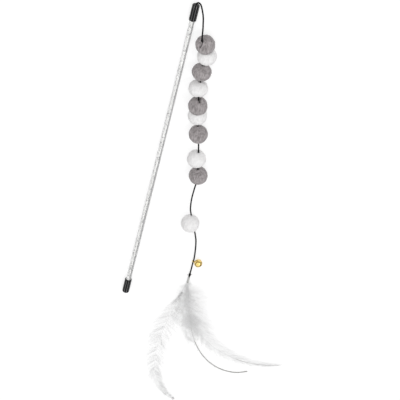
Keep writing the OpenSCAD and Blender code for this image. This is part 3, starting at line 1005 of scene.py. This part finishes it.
@dataclass
class Cap:
    """One ribbed cap, moulded in one piece: grooves from its mouth to a smooth collar.

    A closing is a list of rings over the closed end: how far each lies past it, and its radius. The
    tip cap's goes on into the hole for the cord.
    """

    finishes: Finishes
    side: Side
    mouth: float = 188.0
    radius: float = 4.2
    length: float = 20.5
    grip: float = 12.0
    bore: float = 3.04
    pocket: float = 2.3
    pocket_depth: float = 5.5
    groove_depth: float = 0.45
    groove_width: float = 0.75
    crown: float = 0.2
    scallop: float = 1.5
    notch_width: float = 0.22
    notch_reach: float = 2.5
    collar: float = 3.5
    rounding: float = 1.5
    mouth_rounding: float = 0.3
    mouth_middle: float = 3.6
    sides: int = 240
    tip_closing: tuple = ((0.02, 1.9), (0.0, 1.3), (-0.1, 1.05), (-0.35, 0.95), (-2.9, 0.95))
    grip_closing: tuple = ((0.02, 1.9), (0.05, 1.2), (0.06, 0.5))

    def relief(self, along: np.ndarray, share: np.ndarray) -> np.ndarray:
        """How deep the grooves are at each place.

        Round the cap, a groove is exp(-(distance / half width)^4) of its depth, and between grooves the rib
        is crowned. Along the cap, a groove runs out over the last millimetre before the collar.

        Args:
            along: distances from the mouth, one for each row.
            share: for each column, how far it is from one rib's middle to the next, with 0.5 in a groove.

        Returns:
            Depths, rows by columns.
        """
        distance = np.abs(share - 0.5) * 2 * np.pi * self.radius / RIBS
        groove = np.exp(-((distance / (self.groove_width / 2)) ** 4))
        crown = self.crown * (1 - np.cos(2 * np.pi * share)) * 0.5
        run = 1.0 - smooth_step(along - (self.length - self.collar - 0.7))
        return run[:, None] * (self.groove_depth * groove + crown)

    def profile(self) -> tuple[np.ndarray, np.ndarray]:
        """The cap's section: from the pocket's floor out to the mouth, round it, and over the closed end.

        Returns:
            Distances from the mouth and radii, and whether each point is on the outside.
        """
        soft, end = self.mouth_rounding, self.length - self.rounding
        floor = self.grip + self.pocket_depth
        inner = [(floor, self.pocket), (self.grip, self.pocket), (self.grip, self.bore), (soft, self.bore)]
        lip, bend = (np.linspace(0.0, np.pi / 2, count)[1:] for count in (5, 9))
        mouth_in = np.stack([soft * (1 - np.sin(lip)), self.bore + soft * (1 - np.cos(lip))], -1)
        edge = np.stack([soft * (1 - np.cos(lip)), self.radius - soft * (1 - np.sin(lip))], -1)
        # Rows along the ribs, and closer ones where the grooves run out
        wall = np.concatenate([np.linspace(0.6, end - 3.4, 24), np.linspace(end - 3.2, end, 16)])
        wall = np.stack([wall, np.full(len(wall), self.radius)], -1)
        drop = self.rounding * (1 - np.cos(bend))
        shoulder = np.stack([end + self.rounding * np.sin(bend), self.radius - drop], -1)
        closing = self.tip_closing if self.side is Side.TIP else self.grip_closing
        closing = np.array(closing) + (self.length, 0)
        rings = np.vstack([inner, mouth_in, [(0.0, self.mouth_middle)], edge, wall, shoulder, closing])
        return rings, np.arange(len(rings)) >= len(inner) + len(mouth_in)

    def build(self) -> None:
        """The cap: its section turned about the rod's axis, grooved, and scalloped at its mouth."""
        profile, outside = self.profile()
        along, radius = profile.T
        share = (np.arange(self.sides) * RIBS / self.sides) % 1.0
        fade = outside * smooth_step((radius - 3.2) / 0.7)
        radii = radius[:, None] - self.relief(along, share) * fade[:, None]
        sign = 1.0 if self.side is Side.TIP else -1.0
        start = sign * self.mouth * NORTH + ROD_HEIGHT * UP
        turned = -sign * np.pi / RIBS / 2
        surface = lathe(np.column_stack([along, radii]), start, NORTH * sign, self.sides, turned)
        notch = hump(share, self.notch_width, 0.5)
        reach = smooth_step((radius - 3.0) / 0.4) * (1 - smooth_step(along / self.notch_reach))
        surface.points[: radii.size, 1] += sign * self.scallop * (reach[:, None] * notch).ravel()
        name = "tip_ribbed_cap" if self.side is Side.TIP else "grip_ribbed_cap"
        make_piece(name, surface, [self.finishes.rubber], (self.side.value,), "wand", sharp=50)


@dataclass
class ElasticCord:
    """The braided elastic, from its knot in the tip cap to the knot above the feathers."""

    finishes: Finishes
    step: float = 0.2
    blur: float = 0.8
    sides: int = 20
    strands: int = 5
    lead: float = 5.5
    relief: float = 0.1
    crown: float = 0.78
    weave: float = 0.22
    mean_height: float = 0.75
    proud: float = 0.08
    exit: tuple[float, float, float] = (0.0, 0.2085, 0.0042)
    swing_start: tuple[float, float, float] = (0.001, 0.2124, 0.0069)
    swing_end: tuple[float, float, float] = (0.004, 0.2124, 0.0069)

    def path(self) -> np.ndarray:
        """The cord's middle line, in millimetres."""
        return smooth_route(np.array(TIP_ROUTE + LINE_ROUTE) / MM, self.step, self.blur)

    def build(self) -> bpy.types.Object:
        """The cord: two sets of strands wind round it in opposite ways and pass over each other in turn.

        With a = n * angle + s / pitch and b = n * angle - s / pitch, the relief is the higher of
        |cos(pi a)| and |cos(pi b)|, each raised or lowered in turn by cos(pi (a - b)) and its opposite.
        Its mean height is taken off, so that the cord keeps its thickness.

        Returns:
            The cord's object.
        """
        path = self.path()
        length = distances(path)[:, None]
        angles = self.strands * np.arange(self.sides) / self.sides
        pitch = self.lead / self.strands
        a, b = angles + length / pitch, angles - length / pitch
        turn = self.weave * np.cos(np.pi * (a - b))
        one, other = (np.abs(np.cos(np.pi * strand)) for strand in (a, b))
        height = np.maximum(one * (self.crown + turn), other * (self.crown - turn))
        radii = CORD_DIAMETER / 2 + self.proud + self.relief * (height - self.mean_height)
        surface, replaced = tube(path, radii, self.sides), ("cord_tip", "cord_line")
        made = make_piece("braided_cord", surface, [self.finishes.elastic], replaced)
        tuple(self.swing_start)
        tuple(self.swing_end)
        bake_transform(made)
        LOG.info("braided_cord: %.1f mm long", length[-1, 0])
        return made

    def declare(self, cord: bpy.types.Object, with_pieces: list[bpy.types.Object]) -> None:
        """Work out the cord's middle line, and nothing more.

        Args:
            cord: not used.
            with_pieces: not used.
        """
        path = self.path()
        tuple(self.exit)


@dataclass
class EndKnot:
    """The knot at the cord's far end: three tight turns round the cord, with two short loose ends."""

    finishes: Finishes
    start: tuple[float, float, float] = (72.5, -164.0, 1.9)
    length: float = 7.0
    strand: float = 0.45
    core: float = 0.5
    core_drawn: float = 0.78
    turns: float = 3.5
    phase: float = 0.6
    coil_steps: int = 150
    tail_length: float = 2.6
    tail_radius: float = 0.36
    tail_steps: int = 16

    def tail(self, share: float, sign: float, droop: float) -> Surface:
        """One loose end: it leaves the coil sideways and bends down towards the feathers.

        Args:
            share: where it leaves, as a share of the knot's length.
            sign: 1 for the right side and -1 for the left.
            droop: how far its end lies below its start.

        Returns:
            Its surface.
        """
        t = np.linspace(0.0, 1.0, self.tail_steps)
        reach = 0.7 + self.tail_length * t
        offset = [
            sign * reach * np.cos(0.35 * t),
            -self.length * share - self.tail_length * 0.45 * t**1.6,
            -0.2 - droop * t,
        ]
        fray = 1.0 + 0.25 * smooth_step((t - 0.75) / 0.25)
        path = np.array(self.start) + np.stack(offset, -1)
        return tube(path, self.tail_radius * fray * np.where(t > 0.97, 0.7, 1.0), 12)

    def build(self) -> bpy.types.Object:
        """The knot: the cord's core, the coil round it and the loose ends.

        The coil's radius swells towards its third quarter, and its strand thins at both ends.

        Returns:
            The knot's object.
        """
        start = np.array(self.start)
        stops = np.array([[0.3], [-1.0], [-self.length], [-self.length - 3.0]])
        core = smooth_route(start + stops * NORTH, 0.25, 0.4)
        share = np.linspace(0.0, 1.0, self.coil_steps)
        angle = 2 * np.pi * self.turns * share + self.phase
        radius = (self.core + self.strand) * (0.86 + 0.3 * hump(share, 0.25, 0.6))
        coil, out = winding(start, self.length * (0.1 + 0.78 * share), angle, radius)
        ends = smooth_step(np.minimum(share, 1 - share) / 0.05) * 0.25 + 0.75
        bound = [tube(core, np.full(len(core), self.core_drawn), 16), tube(coil, self.strand * ends, 14, out)]
        loose = [self.tail(share=0.65, sign=-1.0, droop=0.9), self.tail(share=0.45, sign=1.0, droop=0.8)]
        surface, finishes = Surface.joined(bound + loose), [self.finishes.elastic, self.finishes.thread]
        parts = [number for number, group in enumerate((bound, loose)) for part in group for _ in part.faces]
        return make_piece("cord_end_knot", surface, finishes, ("end_knot",), "line", parts)


@dataclass
class FeltBall:
    """One felt ball, with a dimple where the cord goes in and out, and loose fibres all over.

    Each set of lumps has a height in millimetres, a pitch in radii, a number of waves and a seed. A
    fibre has its reach in radians, its lift in millimetres, and at each of its points a share of its
    lift and of its radius.
    """

    finishes: Finishes
    number: int
    rows: int = 110
    columns: int = 150
    fibres: int = 1800
    fibre_radius: float = 0.045
    fibre_taper: tuple[float, ...] = (1.0, 0.9, 0.7, 0.35)
    fibre_rise: tuple[float, ...] = (-0.2, 0.35, 0.7, 1.0)
    fibre_lift: tuple[float, float] = (0.1, 0.6)
    fibre_reach: tuple[float, float] = (0.06, 0.2)
    fibre_floor: float = 0.06
    fluff: float = 0.6
    lumps: tuple[tuple[float, float, int, int], ...] = ((0.16, 0.9, 14, 40), (0.05, 0.22, 24, 80))
    combed: float = 0.12
    fold_pitch: float = 0.85
    dimple_width: float = 1.6
    dimple_depth: float = 2.6
    crease_depth: float = 4.2
    crease_width: float = 0.9
    press_gap: float = 0.15
    press_ease: float = 0.35
    floor_gap: float = 0.02
    floor_ease: float = 0.12
    slim: tuple[int, ...] = (2, 3, 4)
    shoulder: tuple[float, float] = (0.85, 1.5)
    pressed: tuple[tuple[int, int], ...] = ((1, 2), (5, 6))

    def stretch(self, number: int) -> tuple[np.ndarray, np.ndarray]:
        """A ball's place on the cord and the cord's direction there.

        Args:
            number: the ball's number, from 1 at the tip.

        Returns:
            The point on the cord and the unit vector along it.
        """
        row, share = BALL_PLACES[number - 1][:2]
        near, far = (np.array(LINE_ROUTE[row + i]) / MM for i in (0, 1))
        return near + (far - near) * share, unit(far - near)

    def middle(self, number: int) -> np.ndarray:
        """A ball's middle: beside the cord by its share of a radius, and raised off the floor by another.

        Args:
            number: the ball's number, from 1 at the tip.

        Returns:
            The point, in millimetres.
        """
        place, axis = self.stretch(number)
        _, _, aside, raised = BALL_PLACES[number - 1]
        beside = place - unit(np.cross(axis, UP)) * aside * BALL_RADIUS
        return np.array([beside[0], beside[1], BALL_RADIUS * (1 + raised)])

    def shape(self, ways: np.ndarray) -> np.ndarray:
        """The ball's skin in given directions from its middle.

        The radius is the ball's, plus soft lumps and the lengthwise folds of the combed wool, less a
        dimple round each place where the cord passes the skin, and less a ball's crease. A slim ball is only
        as long as the solid along the cord, so that it clears its neighbours while it spins. The result is
        then pressed flat where a neighbour or the floor is.

        Args:
            ways: unit vectors from the ball's middle.

        Returns:
            Points, in millimetres.
        """
        place, axis = self.stretch(self.number)
        middle = self.middle(self.number)
        up = square_to(axis, UP)
        polar, turn = np.arccos(np.clip(ways @ axis, -1, 1)), np.arctan2(ways @ np.cross(axis, up), ways @ up)
        fleece = np.stack([5 * np.cos(turn), 5 * np.sin(turn), 1.1 * polar], -1)
        relief = sum(
            height * waves(ways, pitch, count, seed + self.number)
            for height, pitch, count, seed in self.lumps
        )
        relief += self.combed * np.sin(polar) * waves(fleece, self.fold_pitch, 20, 120 + self.number)
        foot = place - middle
        foot -= (foot @ axis) * axis
        reach = math.sqrt(BALL_RADIUS**2 - foot @ foot)
        for sign in (-1.0, 1.0):
            distance = np.linalg.norm(ways * BALL_RADIUS - (foot + sign * reach * axis), axis=-1)
            relief -= self.dimple_depth * hump(distance, self.dimple_width)
        if self.number in CREASES:
            line = smooth_route(unit(np.array(CREASES[self.number])) * BALL_RADIUS, 0.4, 0.4)
            gaps = np.linalg.norm(ways[..., None, :] * BALL_RADIUS - line, axis=-1)
            relief -= self.crease_depth * hump(gaps.min(axis=-1), self.crease_width)
        fluff = np.full(relief.shape, self.fluff)
        if self.number in self.slim:
            belly = np.clip((np.sin(polar) * np.pi / 2 - self.shoulder[0]) / np.ptp(self.shoulder), 0, 1)
            fluff = self.fluff * belly
            relief = np.where(relief > 0, relief * belly, relief)
        points = middle + ways * (BALL_RADIUS + fluff + relief)[..., None]
        for pair in self.pressed:
            if self.number in pair:
                other, toward = (pair[1], axis) if self.number == pair[0] else (pair[0], -axis)
                depth = (points - (middle + self.middle(other)) / 2) @ toward
                pushed = soft_below(depth, -self.press_gap, self.press_ease) - depth
                points = points + pushed[..., None] * toward
        points[..., 2] = -soft_below(-points[..., 2], -self.floor_gap, self.floor_ease)
        return points

    def build(self) -> bpy.types.Object:
        """The ball: a skin on a grid of latitude and turn about the cord, and short fibres bent over it.

        Returns:
            The ball's object.
        """
        _, axis = self.stretch(self.number)
        up = square_to(axis, UP)
        polar = np.linspace(0.03, np.pi - 0.03, self.rows)[:, None, None]
        ways = -np.cos(polar) * axis + np.sin(polar) * circle(up, np.cross(axis, up), self.columns)
        ball = skin(self.shape(ways))
        draw = np.random.default_rng(500 + self.number)
        ways = unit(draw.normal(size=(self.fibres, 3)))
        lean = draw.normal(size=(self.fibres, 3)) + axis * draw.choice([-1.4, 1.4], (self.fibres, 1))
        lean = square_to(ways, lean)
        steps = len(self.fibre_rise)
        reach = draw.uniform(*self.fibre_reach, (self.fibres, 1, 1)) * np.linspace(0.0, 1.0, steps)[:, None]
        bent = unit(ways[:, None] * np.cos(reach) + lean[:, None] * np.sin(reach))
        lift = draw.uniform(*self.fibre_lift, (self.fibres, 1)) * np.array(self.fibre_rise)
        lines = self.shape(bent) + bent * lift[..., None]
        lines[..., 2] = np.maximum(lines[..., 2], self.fibre_floor)
        radii = self.fibre_radius * np.broadcast_to(self.fibre_taper, (self.fibres, steps))
        fuzz = slivers(lines, radii, unit(np.cross(ways, lean))[:, None])
        wool = Wool.GREY if self.number % 2 else Wool.WHITE
        finish = self.finishes.grey_wool if wool is Wool.GREY else self.finishes.white_wool
        name = f"ball_{self.number}"
        return make_piece(f"felt_{name}", Surface.joined([ball, fuzz]), [finish], (name,), name)


def smoothed(name: str, node: str, body: str, finish: bpy.types.Material) -> bpy.types.Object:
    """A copy of a CAD node with its loose triangles joined, so that its round faces shade smoothly.

    Args:
        name: the new piece's name.
        node: the CAD node.
        body: the body that it rides on.
        finish: its material.

    Returns:
        The piece.
    """
    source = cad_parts[node].data
    source.calc_loop_triangles()
    places = np.empty(len(source.vertices) * 3, dtype=np.float32)
    source.vertices.foreach_get("co", places)
    corners = np.empty(len(source.loop_triangles) * 3, dtype=np.int32)
    source.loop_triangles.foreach_get("vertices", corners)
    places = places.reshape(-1, 3).astype(float) / MM
    _, first, number = np.unique(np.round(places, 3), axis=0, return_index=True, return_inverse=True)
    faces = number.reshape(-1)[corners].reshape(-1, 3)
    faces = faces[(faces != np.roll(faces, -1, axis=1)).all(axis=1)]
    return make_piece(name, Surface.plain(places[first], [faces]), [finish], (node,), body, sharp=30)


@dataclass
class JingleBell:
    """The pressed brass bell: its two halves, its wire loop and its pellet."""

    finishes: Finishes

    def build(self) -> list[bpy.types.Object]:
        """The bell's four pieces.

        Returns:
            Their objects, from its top down and the pellet last.
        """
        brass, steel = self.finishes.brass, self.finishes.steel
        return [
            smoothed("bell_upper_half", "bell_top", "bell", brass),
            smoothed("bell_lower_half", "bell_bottom", "bell", brass),
            smoothed("bell_wire_loop", "bell_loop", "bell", brass),
            smoothed("bell_ringing_pellet", "bell_pellet", "pellet", steel),
        ]


@dataclass
class Plume:
    """One feather: a tapered shaft, barbs on both sides and fine barbules on them.

    Its place is in radii of the binding, its lengths are millimetres and its angles are degrees. The
    barbs' size and bow are ranges of random shares, and the shaft is grey from dark_from on, a share
    of its length. Real barbs are finer: they are drawn coarser, so that a few hundred fill the vane.
    """

    finishes: Finishes
    name: str
    node: str
    place: tuple[float, float]
    length: float
    width: float
    level: float
    heading: float
    turn: float
    ease: float
    taper: float
    rings: int = 18
    spacing: float = 1.3
    levelling: float = 25.0
    barbs: int = 340
    steps: int = 7
    barb_radius: float = 0.05
    barb_thinning: float = 0.72
    barb_spread: float = 0.16
    barb_size: tuple[float, float] = (0.5, 1.1)
    barb_bow: tuple[float, float] = (0.05, 0.32)
    barbules: int = 8
    barbule_reach: float = 1.6
    barbule_radius: float = 0.03
    lift: float = 0.6
    shaft: float = 0.3
    shaft_tip: float = 0.2
    shaft_sides: int = 8
    dark_from: float = 2.0
    reach_left: float = 1.0
    reach_right: float = 1.0
    base_angle: float = 62.0
    tip_angle: float = 24.0
    quill: float = 8.0
    widening: float = 24.0
    narrowing: float = 0.94
    crowd: float = 0.92
    near: float = 0.6
    ceiling: float = 23.6
    seed: int = 1

    def line(self) -> np.ndarray:
        """The shaft's middle line: from the binding it levels off at its own height and bends.

        Step by step along its rings, the heading is the first heading plus the turn times the share of
        the length to a power, as in the part's source, and the height eases over the first stretch.

        Returns:
            Points, a millimetre apart.
        """
        offset = np.array([self.place[0], 0.0, self.place[1]]) * BINDING_DIAMETER / 2
        start = BINDING_START - BINDING_LENGTH * NORTH + offset
        rings = (np.arange(self.rings + 1) / self.rings) ** self.spacing * self.length
        halfway = ((np.arange(self.rings) + 0.5) / self.rings) ** self.spacing
        angle = np.radians(self.heading + self.turn * halfway**self.ease)
        steps = np.diff(rings)[:, None] * np.stack([np.cos(angle), np.sin(angle)], -1)
        flat = start[:2] + np.vstack([[(0.0, 0.0)], np.cumsum(steps, axis=0)])
        height = start[2] + (self.level - start[2]) * smooth_step(rings / self.levelling)
        return smooth_route(np.column_stack([flat, height]), 1.0, 1.5)

    def vane(self, share: np.ndarray) -> np.ndarray:
        """The share of its full width that the feather has at a share of its length."""
        grow = smooth_step((share * self.length - self.quill) / self.widening)
        return grow * (1 - self.narrowing * share**self.taper)

    def stand(self, line: np.ndarray, foot: np.ndarray) -> list[np.ndarray]:
        """Places on the shaft and the directions ahead, up and across there.

        Args:
            line: the shaft's middle line.
            foot: distances along it.

        Returns:
            Four arrays with one row for each distance.
        """
        along = distances(line)
        return [
            np.stack([np.interp(foot, along, values[:, axis]) for axis in range(3)], -1)
            for values in (line, *frames_along(line))
        ]

    def barb_lines(self, draw: np.random.Generator, line: np.ndarray, length: float) -> np.ndarray:
        """The barbs' middle lines.

        A barb leaves the shaft at an angle that closes towards the tip, and bends forward:
        point = foot + side * L * (sin(angle) * t - bow * t^2) + ahead * L * (cos(angle) * t + bow * t^2),
        plus a random rise. With a crowd over one, more of them stand near the quill.

        Args:
            draw: the source of random numbers.
            line: the shaft's middle line.
            length: the shaft's length.

        Returns:
            Barbs by steps by x, y and z.
        """
        count = self.barbs
        start, end = self.near**self.crowd, (1 + self.near) ** self.crowd
        spread = ((draw.uniform(0.0, 1.0, count) + self.near) ** self.crowd - start) / (end - start)
        foot = self.quill + (length * 0.995 - self.quill) * spread
        part = foot / length
        side = np.where(np.arange(count) % 2 == 0, 1.0, -1.0)
        angle = np.radians(self.base_angle + (self.tip_angle - self.base_angle) * part)
        angle = angle * draw.normal(1.0, self.barb_spread, count)
        half = self.width / 2 * np.maximum(self.vane(part), 0.05)
        half = half * np.where(side > 0, self.reach_right, self.reach_left)
        size = (half / np.sin(np.clip(angle, 0.25, 1.5)) * draw.uniform(*self.barb_size, count))[:, None]
        bow = draw.uniform(*self.barb_bow, count)[:, None]
        t = np.linspace(0.0, 1.0, self.steps)[None]
        wave = draw.normal(0.0, 0.05, (count, 1)) * np.sin(t * 5.0 + draw.uniform(0, 6.28, (count, 1))) * t
        lateral = side[:, None] * size * (np.sin(angle)[:, None] * t - bow * t**2 * 0.6 + wave)
        forward = size * (np.cos(angle)[:, None] * t + bow * t**2)
        rise = draw.normal(0.0, 1.0, (count, 1)) * self.lift * t**1.3 + 0.3 * self.lift * np.sin(np.pi * t)
        base, fore, top, wide = (values[:, None] for values in self.stand(line, foot))
        return base + lateral[..., None] * wide + forward[..., None] * fore + rise[..., None] * top

    def barbule_needles(self, draw: np.random.Generator, lines: np.ndarray) -> Surface:
        """Fine hairs that stand on the barbs, half to each side.

        Args:
            draw: the source of random numbers.
            lines: the barbs' middle lines.

        Returns:
            All hairs as one surface.
        """
        count, number, steps = len(lines), self.barbules, self.steps
        where = np.linspace(0.1, 0.98, number)[None] + draw.uniform(-0.02, 0.02, (count, number))
        low = np.clip((where * (steps - 1)).astype(int), 0, steps - 2)
        rest = (where * (steps - 1) - low)[..., None]
        row = np.arange(count)[:, None]
        start = lines[row, low] * (1 - rest) + lines[row, low + 1] * rest
        way = unit(lines[row, low + 1] - lines[row, low])
        spin = draw.uniform(-1.1, 1.1, (count, number, 1)) + np.pi * (np.arange(number) % 2)[None, :, None]
        flat = unit(np.cross(way, UP) + 1e-6)
        out = unit(way * 0.6 + (flat * np.cos(spin) + np.cross(flat, way) * np.sin(spin)) * 0.8)
        reach = self.barbule_reach * draw.uniform(0.45, 1.2, (count, number, 1))
        reach = reach * (1.15 - 0.5 * where[..., None])
        ends = start + out * reach
        ends[..., 2] = np.clip(ends[..., 2], 0.05, self.ceiling + 0.6)
        return needles(start.reshape(-1, 3), ends.reshape(-1, 3), self.barbule_radius)

    def build(self) -> None:
        """The feather: its shaft, with a grey far part where it is bare, its barbs and their barbules."""
        draw = np.random.default_rng(self.seed)
        line = self.line()
        along = distances(line)
        share = along / along[-1]
        stem = tube(line, self.shaft + (self.shaft_tip - self.shaft) * share, self.shaft_sides)
        grey = (share[:-1] >= self.dark_from).repeat(self.shaft_sides)
        for arrays in (stem.faces, stem.corners):
            arrays[:1] = [arrays[0][~grey], arrays[0][grey]]
        lines = self.barb_lines(draw, line, along[-1])
        lines[..., 2] = soft_below(-soft_below(-lines[..., 2], -0.07, 0.25), self.ceiling, 1.5)
        thinning = 1 - self.barb_thinning * np.linspace(0.0, 1.0, self.steps)
        barbs = slivers(lines, np.tile(self.barb_radius * thinning, (len(lines), 1)))
        surface = Surface.joined([stem, barbs, self.barbule_needles(draw, lines)])
        downy = self.node.startswith("plume")
        finishes = [self.finishes.down if downy else self.finishes.vane, self.finishes.shaft]
        parts = [0, 1, 0, 0, 0, 0, 0]  # only the far part of the shaft's walls is grey
        make_piece(self.name, surface, finishes, (self.node,), "feathers", parts)


@dataclass
class DownPlume(Plume):
    """A downy plume: its barbs grow in tufts that stand out all round the shaft and curl."""

    tufts: int = 90
    fuller: float = 0.5
    waist: float = 0.2
    narrowing: float = 0.45
    flatness: float = 0.4

    def vane(self, share: np.ndarray) -> np.ndarray:
        """The share of its full width: quick to widen, with a slight waist past the middle."""
        return super().vane(share) * (1 - self.waist * hump(share, 0.1, 0.55))

    def barb_lines(self, draw: np.random.Generator, line: np.ndarray, length: float) -> np.ndarray:
        """The barbs' middle lines.

        Each tuft has its own foot, way out and curl, and its barbs differ a little from them. A barb
        starts along its way out and turns steadily about a random axis, so its direction after a share t
        is d cos(ct) + (k x d) sin(ct) + k (k . d) (1 - cos(ct)), and its points are the running sum.

        Args:
            draw: the source of random numbers.
            line: the shaft's middle line.
            length: the shaft's length.

        Returns:
            Barbs by steps by x, y and z.
        """
        each = self.barbs // self.tufts

        def spread(values: np.ndarray, amount: float) -> np.ndarray:
            """Each tuft's value for all its barbs, with small random differences."""
            held = np.repeat(values, each, axis=0)
            return held + draw.normal(0.0, amount, held.shape)

        # What follows draws each tuft's value, and then the small differences of its barbs
        foot = self.quill + length * 0.95 * draw.uniform(0.0, 1.0, self.tufts)
        foot = np.clip(spread(foot, 1.6), 0.3, length * 0.99)
        part = foot / length
        base, fore, top, wide = self.stand(line, foot)
        round_about = spread(draw.uniform(0.0, 2 * np.pi, self.tufts), 0.35)
        lean = np.radians(self.base_angle + (self.tip_angle - self.base_angle) * part)
        lean = (lean * spread(draw.normal(1.0, 0.22, self.tufts), 0.12))[:, None]
        out = wide * np.cos(round_about)[:, None] + top * np.sin(round_about)[:, None] * self.flatness
        d = unit(fore * np.cos(lean) + unit(out) * np.sin(lean))[:, None]
        k = unit(spread(draw.normal(size=(self.tufts, 3)), 0.25))[:, None]
        curl = spread(draw.normal(0.0, 1.3, self.tufts), 0.3)[:, None] * np.linspace(0.0, 1.0, self.steps)
        size = self.width / 2 * self.vane(part) * spread(draw.uniform(0.45, 1.35, self.tufts), 0.25)
        size = np.maximum(size, 2.5) * (1 - self.fuller * np.cos(round_about))
        turn = curl[..., None]
        held = k * (k * d).sum(-1, keepdims=True)
        ways = d * np.cos(turn) + np.cross(k, d) * np.sin(turn) + held * (1 - np.cos(turn))
        steps = ways[:, :-1] * (size / (self.steps - 1))[:, None, None]
        return base[:, None] + np.concatenate([np.zeros((len(size), 1, 3)), np.cumsum(steps, axis=1)], axis=1)


@dataclass
class Binding:
    """The thread that is wound round the quills below the knot.

    The core's rings are given by their distance from the start and their share of its radius.
    """

    finishes: Finishes
    thread: float = 0.19
    pitch: float = 0.36
    core: tuple[tuple[float, float], ...] = (
        (0.0, 0.72), (0.15, 0.86), (0.5, 0.97), (1.0, 1.0), (5.0, 1.0), (8.6, 0.97), (9.2, 0.9), (9.5, 0.8),
    )

    def build(self) -> None:
        """The binding: a packed core, a close winding of thread round it, and a few crossing turns."""
        core_radius = BINDING_DIAMETER / 2 - 2 * self.thread
        parts = [lathe(np.array(self.core) * (1.0, core_radius), BINDING_START, -NORTH, 32)]
        # For each winding: its turns, its share of the length, its radius, its first angle and its jitter
        for turns, reach, radius, phase, jitter in (
            (BINDING_LENGTH / self.pitch - 1, 0.97, core_radius + self.thread * 0.8, 0.0, 0.03),
            (3.5, 0.8, core_radius + self.thread * 1.8, 2.0, 0.06),
        ):
            t = np.linspace(0.0, 1.0, int(turns * 18))
            angle = 2 * np.pi * turns * t + phase
            offset = BINDING_LENGTH * (0.5 - reach / 2 + reach * t) + jitter * np.sin(angle * 0.37)
            swell = radius - 0.25 * (1 - smooth_step(np.minimum(offset, BINDING_LENGTH - offset) / 0.8))
            path, out = winding(BINDING_START, offset, angle, swell)
            parts.append(tube(path, np.full(len(t), self.thread), 7, out))
        surface, finishes, node = Surface.joined(parts), [self.finishes.thread], "feather_binding"
        make_piece("quill_binding", surface, finishes, (node,), "feathers")


@dataclass
class FeatherBunch:
    """Three long feathers and four downy plumes, bound together."""

    finishes: Finishes

    def long_feathers(self) -> list[Plume]:
        """The long feathers: the middle one is nearly bare, and the left one lies the widest open.

        Returns:
            The three feathers, ready to build.
        """
        return [
            Plume(
                self.finishes, "long_feather_middle", "feather_middle", (0.56, -0.32),
                193.0, 11.0, 0.6, -77, 108, 2.9, 2.0,
                barbs=300, lift=0.3, seed=11, barbules=6, shaft=0.3, shaft_tip=0.75, dark_from=0.5,
            ),
            Plume(
                self.finishes, "long_feather_left", "feather_left", (-0.56, -0.32),
                211.0, 46.0, 1.8, -100, 74, 3.2, 2.0,
                barbs=950, lift=0.6, seed=12, barb_radius=0.037, barbules=12, barbule_reach=2.8,
                base_angle=66, tip_angle=46, shaft=0.2, shaft_tip=0.08, crowd=1.8, quill=16.0, widening=40.0,
            ),
            Plume(
                self.finishes, "long_feather_right", "feather_right", (0.0, -0.64),
                206.0, 46.0, 3.0, -86, 102, 1.1, 0.9,
                barbs=760, lift=1.0, seed=13, barb_radius=0.04, barbules=10, barbule_reach=2.4,
                reach_left=1.9, shaft=0.22, shaft_tip=0.2, dark_from=0.72, crowd=1.4,
            ),
        ]

    def plumes(self) -> list[Plume]:
        """The plumes, stacked from the floor up, each with its own place, length and bend.

        Returns:
            The four plumes, ready to build.
        """
        # For each plume: its place in the binding, its share of 96 mm, its first heading and its turn
        rows = (
            ((0.0, 0.0), 0.9, -80, 22), ((-0.56, 0.32), 1.0, -88, 34),
            ((0.56, 0.32), 0.86, -73, 21), ((0.0, 0.64), 0.74, -76, 10),
        )
        return [
            DownPlume(
                self.finishes, f"down_plume_{i + 1}", f"plume_{i + 1}", place,
                96.0 * share, 42.0, 5.3 + 3 * i, heading, turn, 1.5, 2.0,
                barbs=630, steps=9, barb_radius=0.035, barbules=12, barbule_reach=2.5, shaft=0.16,
                shaft_tip=0.05, base_angle=80, tip_angle=40, quill=0.5, widening=2.5, seed=21 + i,
            )
            for i, (place, share, heading, turn) in enumerate(rows)
        ]

    def build(self) -> None:
        """Make the binding, the long feathers and the plumes."""
        Binding(self.finishes).build()
        for plume in self.long_feathers() + self.plumes():
            plume.build()


def main() -> None:
    """Build the studio, then the wand from its tip to its feathers."""
    logging.basicConfig(level=logging.INFO, format="%(name)s: %(message)s")
    studio = Studio()
    studio.camera()
    finishes = Finishes()
    elastic = ElasticCord(finishes)
    cord = elastic.build()
    knot = EndKnot(finishes).build()
    balls = [FeltBall(finishes, number).build() for number in range(1, 11)]
    bell = JingleBell(finishes).build()
    elastic.declare(cord, [knot, *balls, *bell])
    studio.build()
    Rod(finishes).build()
    Cap(finishes, Side.TIP).build()
    Cap(finishes, Side.GRIP).build()
    smoothed("cord_anchor_knot", "anchor_knot", "wand", finishes.elastic)
    FeatherBunch(finishes).build()


if __name__ == "__main__":
    main()
